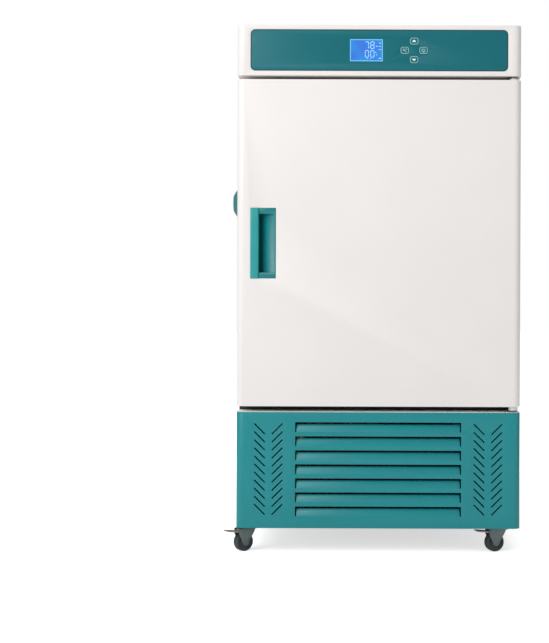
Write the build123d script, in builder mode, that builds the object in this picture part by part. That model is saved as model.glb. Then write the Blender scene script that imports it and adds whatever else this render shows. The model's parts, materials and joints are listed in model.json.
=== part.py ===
"""Refrigerated incubator: insulated chamber over a cooling base, on four swivel casters.

Millimetres, +Z up, front facing -Y. The origin is on the floor, under the middle of the envelope.
"""

from build123d import *
import os

os.makedirs("parts", exist_ok=True)

# Outer sizes
cabinet_w = 600.0
body_depth = 560.0
door_t = 50.0
gasket_t = 10.0
corner_r = 15.0
caster_h = 56.0
base_h = 245.0
under_door_gap = 12.0
door_h = 690.0
over_door_gap = 8.0
header_h = 107.0

# Sheets, walls and fits
skin_t = 1.2
cover_t = 1.5
pan_t = 2.0
deck_t = 2.0
liner_t = 0.8
frame_t = 3.0
wall_t = 45.0
seat_gap = 0.3
shaft_gap = 0.05

# Door seal: its width, and how far it stays inside the door's edges
gasket_w = 16.0
gasket_inset_x = 20.0
gasket_inset_z = 12.0
gasket_overlap = 2.0

# Port through the left wall
port_bore_r = 25.0
port_wall = 2.5
port_flange_w = 8.0
port_flange_t = 2.0
port_height = 753.0
port_from_front = 205.0
cap_proud = 27.0
cap_r = 40.0
cap_plug_len = 40.0

# Levels and depths that follow from the sizes above
cabinet_x = cap_proud / 2
half_w = cabinet_w / 2
front_y = -(door_t + gasket_t + body_depth) / 2
face_y = front_y + door_t + gasket_t
rear_y = face_y + body_depth
pan_z = caster_h
deck_z = pan_z + base_h
door_z = deck_z + under_door_gap
door_top = door_z + door_h
header_z = door_top + over_door_gap
top_z = header_z + header_h

foam_half_w = half_w - skin_t
foam_front_y = face_y + frame_t
foam_back_y = rear_y - skin_t
chamber_half_w = foam_half_w - wall_t
chamber_z = deck_z + wall_t
chamber_top = door_top - gasket_inset_z - gasket_w - gasket_overlap
foam_top = chamber_top + wall_t
chamber_back_y = foam_back_y - wall_t
chamber_edge_r = 18.0
port_y = front_y + port_from_front
port_tube_r = port_bore_r + port_wall
port_hole_r = port_tube_r + seat_gap
room_half_w = chamber_half_w - liner_t
room_back_y = chamber_back_y - liner_t
room_z = chamber_z + liner_t
room_top = chamber_top - liner_t
duct_depth = 70.0
duct_y = room_back_y - duct_depth
suction_x = 138.0
suction_y = (duct_y + room_back_y) / 2
pipe_r = 3.5
pipe_hole_r = pipe_r + 1.5


def level(z):
    """Horizontal plane at height z, on the cabinet's centre line."""
    return Plane((cabinet_x, 0, z))


def front(y):
    """Upright plane at depth y that faces the front, with sketch axes (x, z)."""
    return Plane(origin=(cabinet_x, y, 0), x_dir=(1, 0, 0), z_dir=(0, -1, 0))


def side(x):
    """Upright plane at x from the centre line that faces right, with sketch axes (y, z)."""
    return Plane(origin=(cabinet_x + x, 0, 0), x_dir=(0, 1, 0), z_dir=(1, 0, 0))


def span_box(x_range, y_range, z_range, mode=Mode.ADD):
    """Add or cut a plain block between pairs of limits, inside the open part."""
    with BuildSketch(level(z_range[0])) as outline:
        with Locations(((x_range[0] + x_range[1]) / 2, (y_range[0] + y_range[1]) / 2)):
            Rectangle(x_range[1] - x_range[0], y_range[1] - y_range[0])
    extrude(outline.sketch, amount=z_range[1] - z_range[0], mode=mode)


def rounded_front(width, y_front, y_back, radius, mode=Mode.ADD):
    """Draw a plan outline whose two front corners are rounded, inside the open sketch."""
    with BuildSketch(mode=Mode.PRIVATE) as outline:
        with Locations((0, (y_front + y_back) / 2)):
            Rectangle(width, y_back - y_front)
        fillet(outline.vertices().group_by(Axis.Y)[0], radius)
    add(outline.sketch, mode=mode)


# Base: floor pan, corner posts and deck
pan_half_w = half_w - cover_t - seat_gap
pan_front_y = front_y + cover_t + seat_gap
pan_rear_y = rear_y - cover_t - seat_gap
post_leg = 30.0
post_t = 2.5
post_front_inset = corner_r + 45.0
stiffener_w = 24.0
stiffener_h = 5.0

with BuildPart() as base_pan:
    with BuildSketch(level(pan_z)):
        rounded_front(2 * pan_half_w, pan_front_y, pan_rear_y, corner_r - cover_t - seat_gap)
    extrude(amount=pan_t)
    pan_rib_length = 2 * pan_half_w - 4 * post_leg
    with BuildSketch(level(pan_z + pan_t)):
        with Locations((0, front_y + post_front_inset), (0, pan_rear_y - post_leg)):
            SlotOverall(pan_rib_length, stiffener_w)
    extrude(amount=stiffener_h, taper=45)

post_z = pan_z + pan_t
post_top = deck_z - deck_t
post_front_y = pan_front_y + post_front_inset
with BuildPart() as base_posts:
    with BuildSketch(level(post_z)):
        for x_side in (-1, 1):
            for y_side, post_y in ((-1, post_front_y), (1, pan_rear_y)):
                with Locations((x_side * (pan_half_w - post_leg / 2), post_y - y_side * post_t / 2)):
                    Rectangle(post_leg, post_t)
                with Locations((x_side * (pan_half_w - post_t / 2), post_y - y_side * post_leg / 2)):
                    Rectangle(post_t, post_leg)
    extrude(amount=post_top - post_z)

with BuildPart() as base_deck:
    with BuildSketch(level(deck_z - deck_t)):
        rounded_front(cabinet_w, front_y, rear_y, corner_r)
        with Locations((suction_x, suction_y)):
            Circle(pipe_hole_r, mode=Mode.SUBTRACT)
    extrude(amount=deck_t)

# Base front cover: pressed louvres between herringbone slots
cover_z = pan_z
cover_top = deck_z - deck_t
cover_return = 40.0
cover_back_y = front_y + corner_r + cover_return
louvre_count = 7
louvre_w = 350.0
louvre_h = 20.6
louvre_pitch = 29.6
louvre_slit = 2.6
louvre_top_gap = 5.0
louvre_lean = 8.0
slot_count = 11
slot_length = 31.5
slot_w = 2.8
slot_pitch = 17.0
slot_angle = 45.0
slot_column_outer = 250.0
slot_column_inner = 213.0
pattern_z = (cover_z + cover_top) / 2 + 3.0
louvre_levels = [
    pattern_z - louvre_h / 2 + (i - (louvre_count - 1) / 2) * louvre_pitch for i in range(louvre_count)
]
slot_levels = [pattern_z + (i - (slot_count - 1) / 2) * slot_pitch for i in range(slot_count)]

with BuildPart() as base_front_cover:
    with BuildSketch(level(cover_z)):
        rounded_front(cabinet_w, front_y, cover_back_y, corner_r)
        rounded_front(
            cabinet_w - 2 * cover_t, front_y + cover_t, cover_back_y, corner_r - cover_t, Mode.SUBTRACT
        )
    extrude(amount=cover_top - cover_z)
    with BuildSketch(front(front_y)):
        with Locations([(0, z + louvre_h / 2) for z in louvre_levels]):
            Rectangle(louvre_w, louvre_h)
        for column, lean in (
            (-slot_column_outer, -1),
            (-slot_column_inner, 1),
            (slot_column_inner, -1),
            (slot_column_outer, 1),
        ):
            with Locations([(column, z) for z in slot_levels]):
                Rectangle(slot_length, slot_w, rotation=lean * slot_angle)
    extrude(amount=-2 * cover_t, mode=Mode.SUBTRACT)
    blade_w = louvre_w - 2 * louvre_slit
    blade_h = louvre_h - louvre_top_gap
    with BuildSketch(side(-blade_w / 2)):
        with Locations([(front_y, z) for z in louvre_levels]):
            Polygon(
                (0, 0), (cover_t, 0), (louvre_lean + cover_t, blade_h), (louvre_lean, blade_h), align=None
            )
    extrude(amount=blade_w)

# Base side and rear panels
side_front_y = cover_back_y + seat_gap
vent_count = 9
vent_w = 5.0
vent_h = 90.0
vent_pitch = 16.0
vent_x = 110.0
vent_rise = 145.0
vent_z = cover_z + vent_rise
rear_flange = 14.0

base_sides = {}
for name, x_side in (("left", -1), ("right", 1)):
    with BuildPart() as base_side_panel:
        with BuildSketch(level(cover_z)):
            with Locations((x_side * (half_w - cover_t / 2), (side_front_y + rear_y) / 2)):
                Rectangle(cover_t, rear_y - side_front_y)
            with Locations((x_side * (half_w - rear_flange / 2), rear_y - cover_t / 2)):
                Rectangle(rear_flange, cover_t)
        extrude(amount=cover_top - cover_z)
    base_sides[name] = base_side_panel

inlet_from_side = 100.0
inlet_rise = 150.0
inlet_x = -(half_w - inlet_from_side)
inlet_z = cover_z + inlet_rise
inlet_cut_w = 27.4
inlet_cut_h = 47.0
rear_panel_gap = 0.4
rear_panel_half_w = half_w - rear_flange - rear_panel_gap

with BuildPart() as base_rear_panel:
    with BuildSketch(front(rear_y - cover_t)):
        with Locations((0, (cover_z + cover_top) / 2)):
            Rectangle(2 * rear_panel_half_w, cover_top - cover_z)
        with Locations([(vent_x + (i - (vent_count - 1) / 2) * vent_pitch, vent_z) for i in range(vent_count)]):
            SlotOverall(vent_h, vent_w, rotation=90, mode=Mode.SUBTRACT)
        with Locations((inlet_x, inlet_z)):
            Rectangle(inlet_cut_w, inlet_cut_h, mode=Mode.SUBTRACT)
    extrude(amount=-cover_t)

# Cabinet: insulated box, liner, face frame and outer skins
with BuildPart() as chamber_form:
    with BuildSketch(front(foam_front_y)):
        with Locations((0, (chamber_z + chamber_top) / 2)):
            RectangleRounded(2 * chamber_half_w, chamber_top - chamber_z, chamber_edge_r)
    extrude(amount=foam_front_y - chamber_back_y)
    fillet(chamber_form.faces().sort_by(Axis.Y)[-1].edges(), chamber_edge_r - 2.0)

with BuildPart() as foam_core:
    span_box((-foam_half_w, foam_half_w), (foam_front_y, foam_back_y), (deck_z, foam_top))
    add(chamber_form.part, mode=Mode.SUBTRACT)
    with BuildSketch(side(-half_w)):
        with Locations((port_y, port_height)):
            Circle(port_hole_r)
    extrude(amount=half_w, mode=Mode.SUBTRACT)
    with BuildSketch(level(deck_z)):
        with Locations((suction_x, suction_y)):
            Circle(pipe_hole_r)
    extrude(amount=2 * wall_t, mode=Mode.SUBTRACT)

with BuildPart() as chamber_liner:
    add(chamber_form.part)
    offset(amount=-liner_t, openings=chamber_liner.faces().sort_by(Axis.Y)[0])
    with BuildSketch(side(-half_w)):
        with Locations((port_y, port_height)):
            Circle(port_hole_r)
    extrude(amount=half_w, mode=Mode.SUBTRACT)
    with BuildSketch(level(deck_z)):
        with Locations((suction_x, suction_y)):
            Circle(pipe_hole_r)
    extrude(amount=2 * wall_t, mode=Mode.SUBTRACT)

with BuildPart() as front_frame:
    with BuildSketch(front(foam_front_y)):
        with Locations((0, (deck_z + foam_top) / 2)):
            Rectangle(2 * foam_half_w, foam_top - deck_z)
        with Locations((0, (chamber_z + chamber_top) / 2)):
            RectangleRounded(
                2 * (chamber_half_w - liner_t),
                chamber_top - chamber_z - 2 * liner_t,
                chamber_edge_r - liner_t,
                mode=Mode.SUBTRACT,
            )
    extrude(amount=frame_t)

skin_top = top_z - skin_t
cabinet_sides = {}
for name, x_side in (("left", -1), ("right", 1)):
    with BuildPart() as side_panel:
        with BuildSketch(side(x_side * (half_w - skin_t / 2))):
            with Locations(((face_y + rear_y) / 2, (deck_z + skin_top) / 2)):
                Rectangle(rear_y - face_y, skin_top - deck_z)
            if name == "left":
                with Locations((port_y, port_height)):
                    Circle(port_hole_r, mode=Mode.SUBTRACT)
        extrude(amount=skin_t / 2, both=True)
    cabinet_sides[name] = side_panel

with BuildPart() as top_panel:
    span_box((-half_w, half_w), (face_y, rear_y), (skin_top, top_z))

with BuildPart() as back_panel:
    span_box((-foam_half_w, foam_half_w), (rear_y - skin_t, rear_y), (deck_z, skin_top))

# Access port and its cap
port_inner_x = -(chamber_half_w - liner_t)
port_len = half_w + port_inner_x
with BuildPart() as port_tube:
    with BuildSketch(side(-half_w)):
        with Locations((port_y, port_height)):
            Circle(port_tube_r)
            Circle(port_bore_r, mode=Mode.SUBTRACT)
    extrude(amount=port_len)
    with BuildSketch(side(-half_w), side(port_inner_x + port_flange_t)):
        with Locations((port_y, port_height)):
            Circle(port_tube_r + port_flange_w)
            Circle(port_bore_r, mode=Mode.SUBTRACT)
    extrude(amount=-port_flange_t)

cap_gap = 0.5
cap_seat_x = -half_w - port_flange_t - cap_gap
cap_rim_t = 8.0
cap_dome = cap_proud - port_flange_t - cap_gap - cap_rim_t
cap_crown_r = 18.0
cap_rib_count = 12
cap_rib_w = 5.0
cap_rib_h = 2.0
plug_gap = 0.8
plug_wall = 3.0
plug_r = port_bore_r - plug_gap
cap_centre = (cabinet_x + cap_seat_x, port_y, port_height)
cap_face = Plane(origin=cap_centre, x_dir=(0, -1, 0), z_dir=(-1, 0, 0))
cap_section = Plane(origin=cap_centre, x_dir=(0, 0, 1), z_dir=(0, -1, 0))

with BuildPart() as port_cap:
    with BuildSketch(cap_section):
        with BuildLine():
            Polyline((0, cap_rim_t + cap_dome), (0, 0), (cap_r, 0), (cap_r, cap_rim_t))
            RadiusArc((cap_r, cap_rim_t), (cap_crown_r, cap_rim_t + cap_dome), -2 * cap_r)
            Line((cap_crown_r, cap_rim_t + cap_dome), (0, cap_rim_t + cap_dome))
        make_face()
    revolve(axis=Axis(cap_centre, (-1, 0, 0)))
    with BuildSketch(cap_face):
        with PolarLocations(cap_r, cap_rib_count):
            Rectangle(2 * cap_rib_h, cap_rib_w)
    extrude(amount=cap_rim_t, mode=Mode.SUBTRACT)
    with BuildSketch(cap_face):
        Circle(plug_r)
        Circle(plug_r - plug_wall, mode=Mode.SUBTRACT)
    extrude(amount=-cap_plug_len)

# Header cover: projecting box, open to the electronics space behind it
header_wall = 3.0
fascia_w = 543.0
fascia_h = 87.0
fascia_r = 10.0
fascia_t = 1.5
fascia_pocket = 1.8
fascia_gap = 0.3
fascia_lip = 7.0
header_mid = (header_z + top_z) / 2
board_depth = 16.0
board_t = 1.6
board_w = 230.0
board_h = 70.0
board_x = 30.0
board_post_r = 4.0
board_post_inset = 7.0
board_y = front_y + header_wall + board_depth

display_w = 69.5
display_h = 47.0
display_x = -27.7
display_frame = 3.0
key_w = 18.0
key_h = 15.0
key_r = 5.0
key_gap = 0.35
key_cross_x = 73.0
key_reach_x = 19.8
key_reach_z = 19.6
key_places = {
    "up": (key_cross_x, header_mid + key_reach_z),
    "down": (key_cross_x, header_mid - key_reach_z),
    "set": (key_cross_x - key_reach_x, header_mid),
    "light": (key_cross_x + key_reach_x, header_mid),
}
board_posts = [
    (board_x + sx * (board_w / 2 - board_post_inset), header_mid + sz * (board_h / 2 - board_post_inset))
    for sx in (-1, 1)
    for sz in (-1, 1)
]

with BuildPart() as header_cover:
    with BuildSketch(level(header_z)):
        rounded_front(cabinet_w, front_y, face_y, corner_r)
    extrude(amount=header_h)
    with BuildSketch(level(header_z + header_wall)):
        rounded_front(
            cabinet_w - 2 * header_wall, front_y + header_wall, face_y, corner_r - header_wall
        )
    extrude(amount=header_h - 2 * header_wall, mode=Mode.SUBTRACT)
    with BuildSketch(front(front_y)):
        with Locations((0, header_mid)):
            RectangleRounded(fascia_w + 2 * fascia_gap, fascia_h + 2 * fascia_gap, fascia_r + fascia_gap)
    extrude(amount=-fascia_pocket, mode=Mode.SUBTRACT)
    with BuildSketch(front(front_y)):
        with Locations((0, header_mid)):
            Rectangle(fascia_w - 2 * fascia_lip, fascia_h - 2 * fascia_lip)
    extrude(amount=-2 * header_wall, mode=Mode.SUBTRACT)

fascia_y = front_y + fascia_pocket
with BuildPart() as control_fascia:
    with BuildSketch(front(fascia_y)):
        with Locations((0, header_mid)):
            RectangleRounded(fascia_w, fascia_h, fascia_r)
        with Locations((display_x, header_mid)):
            Rectangle(display_w, display_h, mode=Mode.SUBTRACT)
        with Locations(list(key_places.values())):
            RectangleRounded(
                key_w + 2 * key_gap, key_h + 2 * key_gap, key_r + key_gap, mode=Mode.SUBTRACT
            )
    extrude(amount=fascia_t)
    with BuildSketch(front(fascia_y)):
        with Locations(board_posts):
            Circle(board_post_r)
    extrude(amount=fascia_y - board_y)

# Display: window, module behind it, and the board with its key switches
window_t = 2.0
window_flange = 4.0
with BuildPart() as display_window:
    with BuildSketch(front(fascia_y + window_t)):
        with Locations((display_x, header_mid)):
            Rectangle(display_w + 2 * window_flange, display_h + 2 * window_flange)
    extrude(amount=window_t)
    with BuildSketch(front(fascia_y)):
        with Locations((display_x, header_mid)):
            Rectangle(display_w - 2 * fascia_gap, display_h - 2 * fascia_gap)
    extrude(amount=fascia_t)

module_front_y = fascia_y + window_t
key_travel = 0.5
key_proud = 0.9
key_stem_r = 2.5
key_skirt = 1.0
key_skirt_t = 1.2
switch_w = 6.0
switch_h = 4.3
key_front_y = fascia_y - fascia_t - key_proud
key_back_y = fascia_y
switch_y = board_y - switch_h
key_pieces = {}
for name, (key_x, key_z) in key_places.items():
    with BuildPart() as key:
        with BuildSketch(front(key_back_y + key_skirt_t)):
            with Locations((key_x, key_z)):
                RectangleRounded(key_w, key_h, key_r)
        extrude(amount=key_back_y + key_skirt_t - key_front_y)
        chamfer(key.faces().sort_by(Axis.Y)[0].edges(), key_proud / 2)
        with BuildSketch(front(key_back_y + key_skirt_t)):
            with Locations((key_x, key_z)):
                RectangleRounded(key_w + 2 * key_skirt, key_h + 2 * key_skirt, key_r + key_skirt)
        extrude(amount=key_skirt_t - shaft_gap)
        with BuildSketch(front(key_back_y + key_skirt_t)):
            with Locations((key_x, key_z)):
                Circle(key_stem_r)
        extrude(amount=-(switch_y - key_travel - shaft_gap - key_back_y - key_skirt_t))
    key_pieces[name] = key

with BuildPart() as control_board:
    with BuildSketch(front(board_y)):
        with Locations((board_x, header_mid)):
            Rectangle(board_w, board_h)
    extrude(amount=-board_t)
    with BuildSketch(front(board_y)):
        with Locations(list(key_places.values())):
            Rectangle(switch_w, switch_w)
    extrude(amount=switch_h)
    with BuildSketch(front(board_y + board_t)):
        with Locations((board_x - board_w / 4, header_mid - board_h / 4), (board_x + board_w / 4, header_mid)):
            Rectangle(board_w / 8, board_h / 5)
    extrude(amount=-board_depth / 2)
    span_box(
        (display_x - display_w / 2 - display_frame, display_x + display_w / 2 + display_frame),
        (module_front_y, board_y),
        (header_mid - display_h / 2 - display_frame, header_mid + display_h / 2 + display_frame),
    )

# Electronics tray on top of the insulated box
tray_t = 1.5
tray_w = 300.0
tray_d = 180.0
tray_x = 60.0
tray_from_face = 160.0
tray_y = face_y + tray_from_face
transformer_w = 70.0
transformer_d = 60.0
transformer_h = 58.0
coil_d = 84.0
relay_w = 28.0
relay_d = 38.0
relay_h = 30.0
relay_pitch = 44.0
with BuildPart() as electronics_tray:
    span_box(
        (tray_x - tray_w / 2, tray_x + tray_w / 2),
        (tray_y - tray_d / 2, tray_y + tray_d / 2),
        (foam_top, foam_top + tray_t),
    )
    with BuildSketch(level(foam_top + tray_t)):
        with Locations((tray_x - tray_w / 4, tray_y)):
            Rectangle(transformer_w, transformer_d)
        with Locations((tray_x + tray_w / 4 - relay_pitch / 2, tray_y), (tray_x + tray_w / 4 + relay_pitch / 2, tray_y)):
            Rectangle(relay_w, relay_d)
    extrude(amount=relay_h)
    with BuildSketch(level(foam_top + tray_t + relay_h)):
        with Locations((tray_x - tray_w / 4, tray_y)):
            Rectangle(transformer_w, transformer_d)
    extrude(amount=transformer_h - relay_h)
    with BuildSketch(level(foam_top + tray_t + (transformer_h - relay_h) / 2)):
        with Locations((tray_x - tray_w / 4, tray_y)):
            RectangleRounded(transformer_w / 2, coil_d, transformer_w / 6)
    extrude(amount=relay_h)

# Chamber fittings: slotted rails with clips, and two wire shelves
rail_t = 2.0
clip_out = 14.0
clip_t = 3.0
clip_lip = 6.0
shelf_slots = (1, 5)
shelf_rod_r = 3.0
rail_w = 22.0
rail_end = 30.0
rail_inset = 70.0
rail_slot_w = 10.0
rail_slot_h = 4.0
rail_pitch = 60.0
rail_ys = (foam_front_y + rail_inset, duct_y - rail_inset)
rail_count = int((room_top - room_z - 2 * rail_end) / rail_pitch)
rail_levels = [room_z + rail_end + (i + 0.5) * rail_pitch for i in range(rail_count)]
rail_face_x = room_half_w - rail_t

with BuildPart() as shelf_rails:
    for x_side in (-1, 1):
        with BuildSketch(side(x_side * room_half_w)):
            with Locations([(y, (room_z + room_top) / 2) for y in rail_ys]):
                Rectangle(rail_w, room_top - room_z - 2 * rail_end)
            with Locations([(y, z) for y in rail_ys for z in rail_levels]):
                Rectangle(rail_slot_w, rail_slot_h, mode=Mode.SUBTRACT)
        extrude(amount=-x_side * rail_t)
    for x_side in (-1, 1):
        for z in [rail_levels[i] for i in shelf_slots]:
            with BuildSketch(side(x_side * room_half_w)):
                with Locations([(y, z) for y in rail_ys]):
                    Rectangle(rail_slot_w - 2 * seat_gap, clip_t)
            extrude(amount=-x_side * (rail_t + clip_out))
            with BuildSketch(side(x_side * (rail_face_x - clip_out))):
                with Locations([(y, z - clip_t / 2 + clip_lip / 2) for y in rail_ys]):
                    Rectangle(rail_slot_w - 2 * seat_gap, clip_lip)
            extrude(amount=x_side * 1.5)

shelf_side_gap = 3.0
shelf_front_gap = 22.0
shelf_back_gap = 8.0
shelf_wire_r = 1.5
shelf_wire_count = 13
shelf_half_w = rail_face_x - shelf_side_gap
shelf_front_y = foam_front_y + shelf_front_gap
shelf_back_y = duct_y - shelf_back_gap
shelf_corner_r = 12.0
shelves = {}
for name, slot in zip(("lower", "upper"), shelf_slots):
    rim_z = rail_levels[slot] + clip_t / 2 + shelf_rod_r
    wire_z = rim_z + shelf_rod_r - shelf_wire_r
    rim_w = 2 * (shelf_half_w - shelf_rod_r)
    rim_d = shelf_back_y - shelf_front_y - 2 * shelf_rod_r
    with BuildPart() as shelf:
        with BuildLine(level(rim_z)) as rim:
            FilletPolyline(
                (-rim_w / 2, shelf_front_y + shelf_rod_r),
                (rim_w / 2, shelf_front_y + shelf_rod_r),
                (rim_w / 2, shelf_back_y - shelf_rod_r),
                (-rim_w / 2, shelf_back_y - shelf_rod_r),
                radius=shelf_corner_r,
                close=True,
            )
        start = rim.edges().sort_by(Axis.Y)[0]
        with BuildSketch(Plane(start @ 0.5, z_dir=start % 0.5)):
            Circle(shelf_rod_r)
        sweep(path=rim.wires()[0])
        with BuildSketch(front(shelf_front_y + shelf_rod_r)):
            with Locations((0, wire_z)):
                with GridLocations(rim_w / (shelf_wire_count + 1), 0, shelf_wire_count, 1):
                    RegularPolygon(shelf_wire_r, 6)
        extrude(amount=-rim_d)
        with BuildSketch(side(-rim_w / 2)):
            with Locations(((shelf_front_y + shelf_back_y) / 2, wire_z - 2 * shelf_wire_r)):
                RegularPolygon(shelf_wire_r + seat_gap, 6)
        extrude(amount=rim_w)
    shelves[name] = shelf

# Air duct at the back of the chamber, with the cooling coil, fan, heater and sensor
duct_inset = 22.0
duct_end = 34.0
duct_t = 1.2
duct_r = 6.0
duct_half_w = room_half_w - duct_inset
duct_z = room_z + duct_end
duct_top = room_top - duct_end
fan_z = duct_z + 0.36 * (duct_top - duct_z)
fan_slot_rings = ((18.0, 12.0), (41.0, 26.0))
fan_slot_counts = (9, 20)
fan_slot_w = 4.5
outlet_slots = 12
outlet_w = 6.0
outlet_h = 60.0
outlet_pitch = 30.0
outlet_drop = 60.0
return_rise = 50.0
outlet_z = duct_top - outlet_drop
return_z = duct_z + return_rise
with BuildPart() as duct_cover:
    with BuildSketch(level(duct_z)):
        rounded_front(2 * duct_half_w, duct_y, room_back_y, duct_r)
        rounded_front(
            2 * (duct_half_w - duct_t), duct_y + duct_t, room_back_y, duct_r - duct_t, Mode.SUBTRACT
        )
    extrude(amount=duct_top - duct_z)
    with BuildSketch(front(duct_y)):
        with Locations((0, fan_z)):
            for (ring_r, ring_slot), ring_count in zip(fan_slot_rings, fan_slot_counts):
                with PolarLocations(ring_r, ring_count):
                    Rectangle(ring_slot, fan_slot_w)
        with Locations((0, outlet_z), (0, return_z)):
            with GridLocations(outlet_pitch, 0, outlet_slots, 1):
                Rectangle(outlet_w, outlet_h)
    extrude(amount=-2 * duct_t, mode=Mode.SUBTRACT)

motor_r = 32.0
motor_len = 30.0
motor_shaft_r = 3.0
motor_shaft_len = 24.0
motor_plate_r = 42.0
motor_plate_t = 2.0
with BuildPart() as fan_motor:
    with BuildSketch(front(room_back_y)):
        with Locations((0, fan_z)):
            Circle(motor_plate_r)
    extrude(amount=motor_plate_t)
    with BuildSketch(front(room_back_y - motor_plate_t)):
        with Locations((0, fan_z)):
            Circle(motor_r)
    extrude(amount=motor_len)
    fillet(fan_motor.faces().sort_by(Axis.Y)[0].edges(), 5.0)
    with BuildSketch(front(room_back_y - motor_plate_t - motor_len)):
        with Locations((0, fan_z)):
            Circle(motor_shaft_r)
    extrude(amount=motor_shaft_len)


def axial_fan(centre_z, hub_back_y, hub_r, hub_len, tip_r, blade_count, blade_t, blade_chord, bore_r):
    """Hub with pitched blades that turn about a line along Y, inside the open part."""
    hub_plane = Plane(origin=(cabinet_x, hub_back_y, centre_z), x_dir=(1, 0, 0), z_dir=(0, -1, 0))
    with BuildSketch(hub_plane) as hub:
        Circle(hub_r)
    extrude(hub.sketch, amount=hub_len)
    blade_root = hub_r - 3.0
    for i in range(blade_count):
        outward = Vector(1, 0, 0).rotate(Axis((0, 0, 0), (0, -1, 0)), i * 360 / blade_count)
        blade_start = hub_plane.offset(hub_len / 2).origin + outward * blade_root
        blade_plane = Plane(origin=blade_start, x_dir=outward.cross(Vector(0, -1, 0)), z_dir=outward)
        with BuildSketch(blade_plane) as root:
            Rectangle(blade_chord, blade_t, rotation=32)
        with BuildSketch(blade_plane.offset(tip_r - blade_root)) as tip:
            Rectangle(blade_chord * 1.25, blade_t, rotation=20)
        loft([root.sketch, tip.sketch])
    with BuildSketch(hub_plane) as bore:
        Circle(bore_r)
    extrude(bore.sketch, amount=hub_len - 3.0, mode=Mode.SUBTRACT)


fan_hub_len = 16.0
fan_hub_r = 14.0
fan_tip_r = 55.0
fan_blade_t = 1.6
fan_chord = 20.0
fan_hub_back = room_back_y - motor_plate_t - motor_len - motor_shaft_len + fan_hub_len - 3.0 - seat_gap
with BuildPart() as chamber_fan:
    axial_fan(
        fan_z, fan_hub_back, fan_hub_r, fan_hub_len, fan_tip_r, 5, fan_blade_t, fan_chord, motor_shaft_r + shaft_gap
    )

heater_r = 4.0
heater_bend_r = 16.0
heater_gap = 10.0
heater_z = fan_z + fan_tip_r + heater_gap + heater_bend_r + heater_r
coil_side_gap = 41.0
coil_w = 2 * (duct_half_w - coil_side_gap)
coil_h = 150.0
coil_depth = 44.0
coil_gap = 12.0
coil_tube_r = 5.0
coil_rows = 4
coil_fins = 16
coil_fin_t = 1.0
coil_row_pitch = coil_h / coil_rows
coil_y = room_back_y - coil_gap - coil_depth / 2
coil_z = heater_z + heater_bend_r + heater_r + heater_gap + coil_h / 2
coil_tab_w = 14.0


def finned_coil(centre_x, centre_y, centre_z, width, height, depth, rows, tube_r, fins, fin_t):
    """Upright fins on level tubes that join in bends at their ends, inside the open part."""
    pitch = height / rows
    with BuildSketch(side(centre_x - width / 2)) as tubes:
        with Locations((centre_y, centre_z)):
            with GridLocations(0, pitch, 1, rows):
                Circle(tube_r)
    extrude(tubes.sketch, amount=width)
    for row in range(rows - 1):
        bend_z = centre_z + (row - (rows - 2) / 2) * pitch
        end = 1 if row % 2 == 0 else -1
        with BuildSketch(side(centre_x + end * width / 2)) as section:
            with Locations((centre_y, bend_z + pitch / 2)):
                Circle(tube_r)
        bend_axis = Axis((cabinet_x + centre_x + end * width / 2, centre_y, bend_z), (0, end, 0))
        revolve(section.sketch, axis=bend_axis, revolution_arc=180)
    for i in range(fins):
        fin_x = centre_x - width / 2 + tube_r + (i + 0.5) * (width - 2 * tube_r) / fins
        span_box(
            (fin_x - fin_t / 2, fin_x + fin_t / 2),
            (centre_y - depth / 2, centre_y + depth / 2),
            (centre_z - height / 2, centre_z + height / 2),
        )


with BuildPart() as evaporator:
    finned_coil(
        0, coil_y, coil_z, coil_w, coil_h, coil_depth, coil_rows, coil_tube_r, coil_fins, coil_fin_t
    )
    for x_side in (-1, 1):
        tab_x = x_side * (coil_w / 2 - coil_tab_w)
        span_box(
            (tab_x - coil_tab_w / 2, tab_x + coil_tab_w / 2),
            (coil_y, room_back_y),
            (coil_z + coil_h / 2 - coil_row_pitch / 2 - 1, coil_z + coil_h / 2 - coil_row_pitch / 2 + 1),
        )

heater_w = 260.0
heater_stand = 16.0
heater_y = duct_y + heater_stand
heater_clip_w = 10.0
with BuildPart() as heater:
    with BuildSketch(side(-heater_w / 2)):
        with Locations((heater_y, heater_z)):
            with GridLocations(0, 2 * heater_bend_r, 1, 2):
                Circle(heater_r)
    extrude(amount=heater_w)
    with BuildSketch(side(heater_w / 2)):
        with Locations((heater_y, heater_z + heater_bend_r)):
            Circle(heater_r)
    revolve(axis=Axis((cabinet_x + heater_w / 2, heater_y, heater_z), (0, 1, 0)), revolution_arc=180)
    for x_side in (-1, 1):
        clip_x = x_side * (heater_w / 2 - 2 * heater_clip_w)
        span_box(
            (clip_x - heater_clip_w / 2, clip_x + heater_clip_w / 2),
            (duct_y + duct_t, heater_y),
            (heater_z + heater_bend_r - heater_r / 2, heater_z + heater_bend_r + heater_r / 2),
        )

probe_r = 3.0
probe_len = 60.0
probe_x = 120.0
probe_over_shelf = 19.588
probe_z = rail_levels[shelf_slots[1]] + probe_over_shelf
probe_stand = 6.0
with BuildPart() as air_sensor:
    with BuildSketch(level(probe_z)):
        with Locations((probe_x, duct_y - probe_stand)):
            Circle(probe_r)
    extrude(amount=probe_len)
    fillet(air_sensor.faces().sort_by(Axis.Z)[0].edges(), probe_r * 0.6)
    span_box(
        (probe_x - 2 * probe_r, probe_x + 2 * probe_r),
        (duct_y - probe_stand - 2 * probe_r, duct_y),
        (probe_z + 0.7 * probe_len, probe_z + 0.7 * probe_len + 3 * probe_r),
    )

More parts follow.
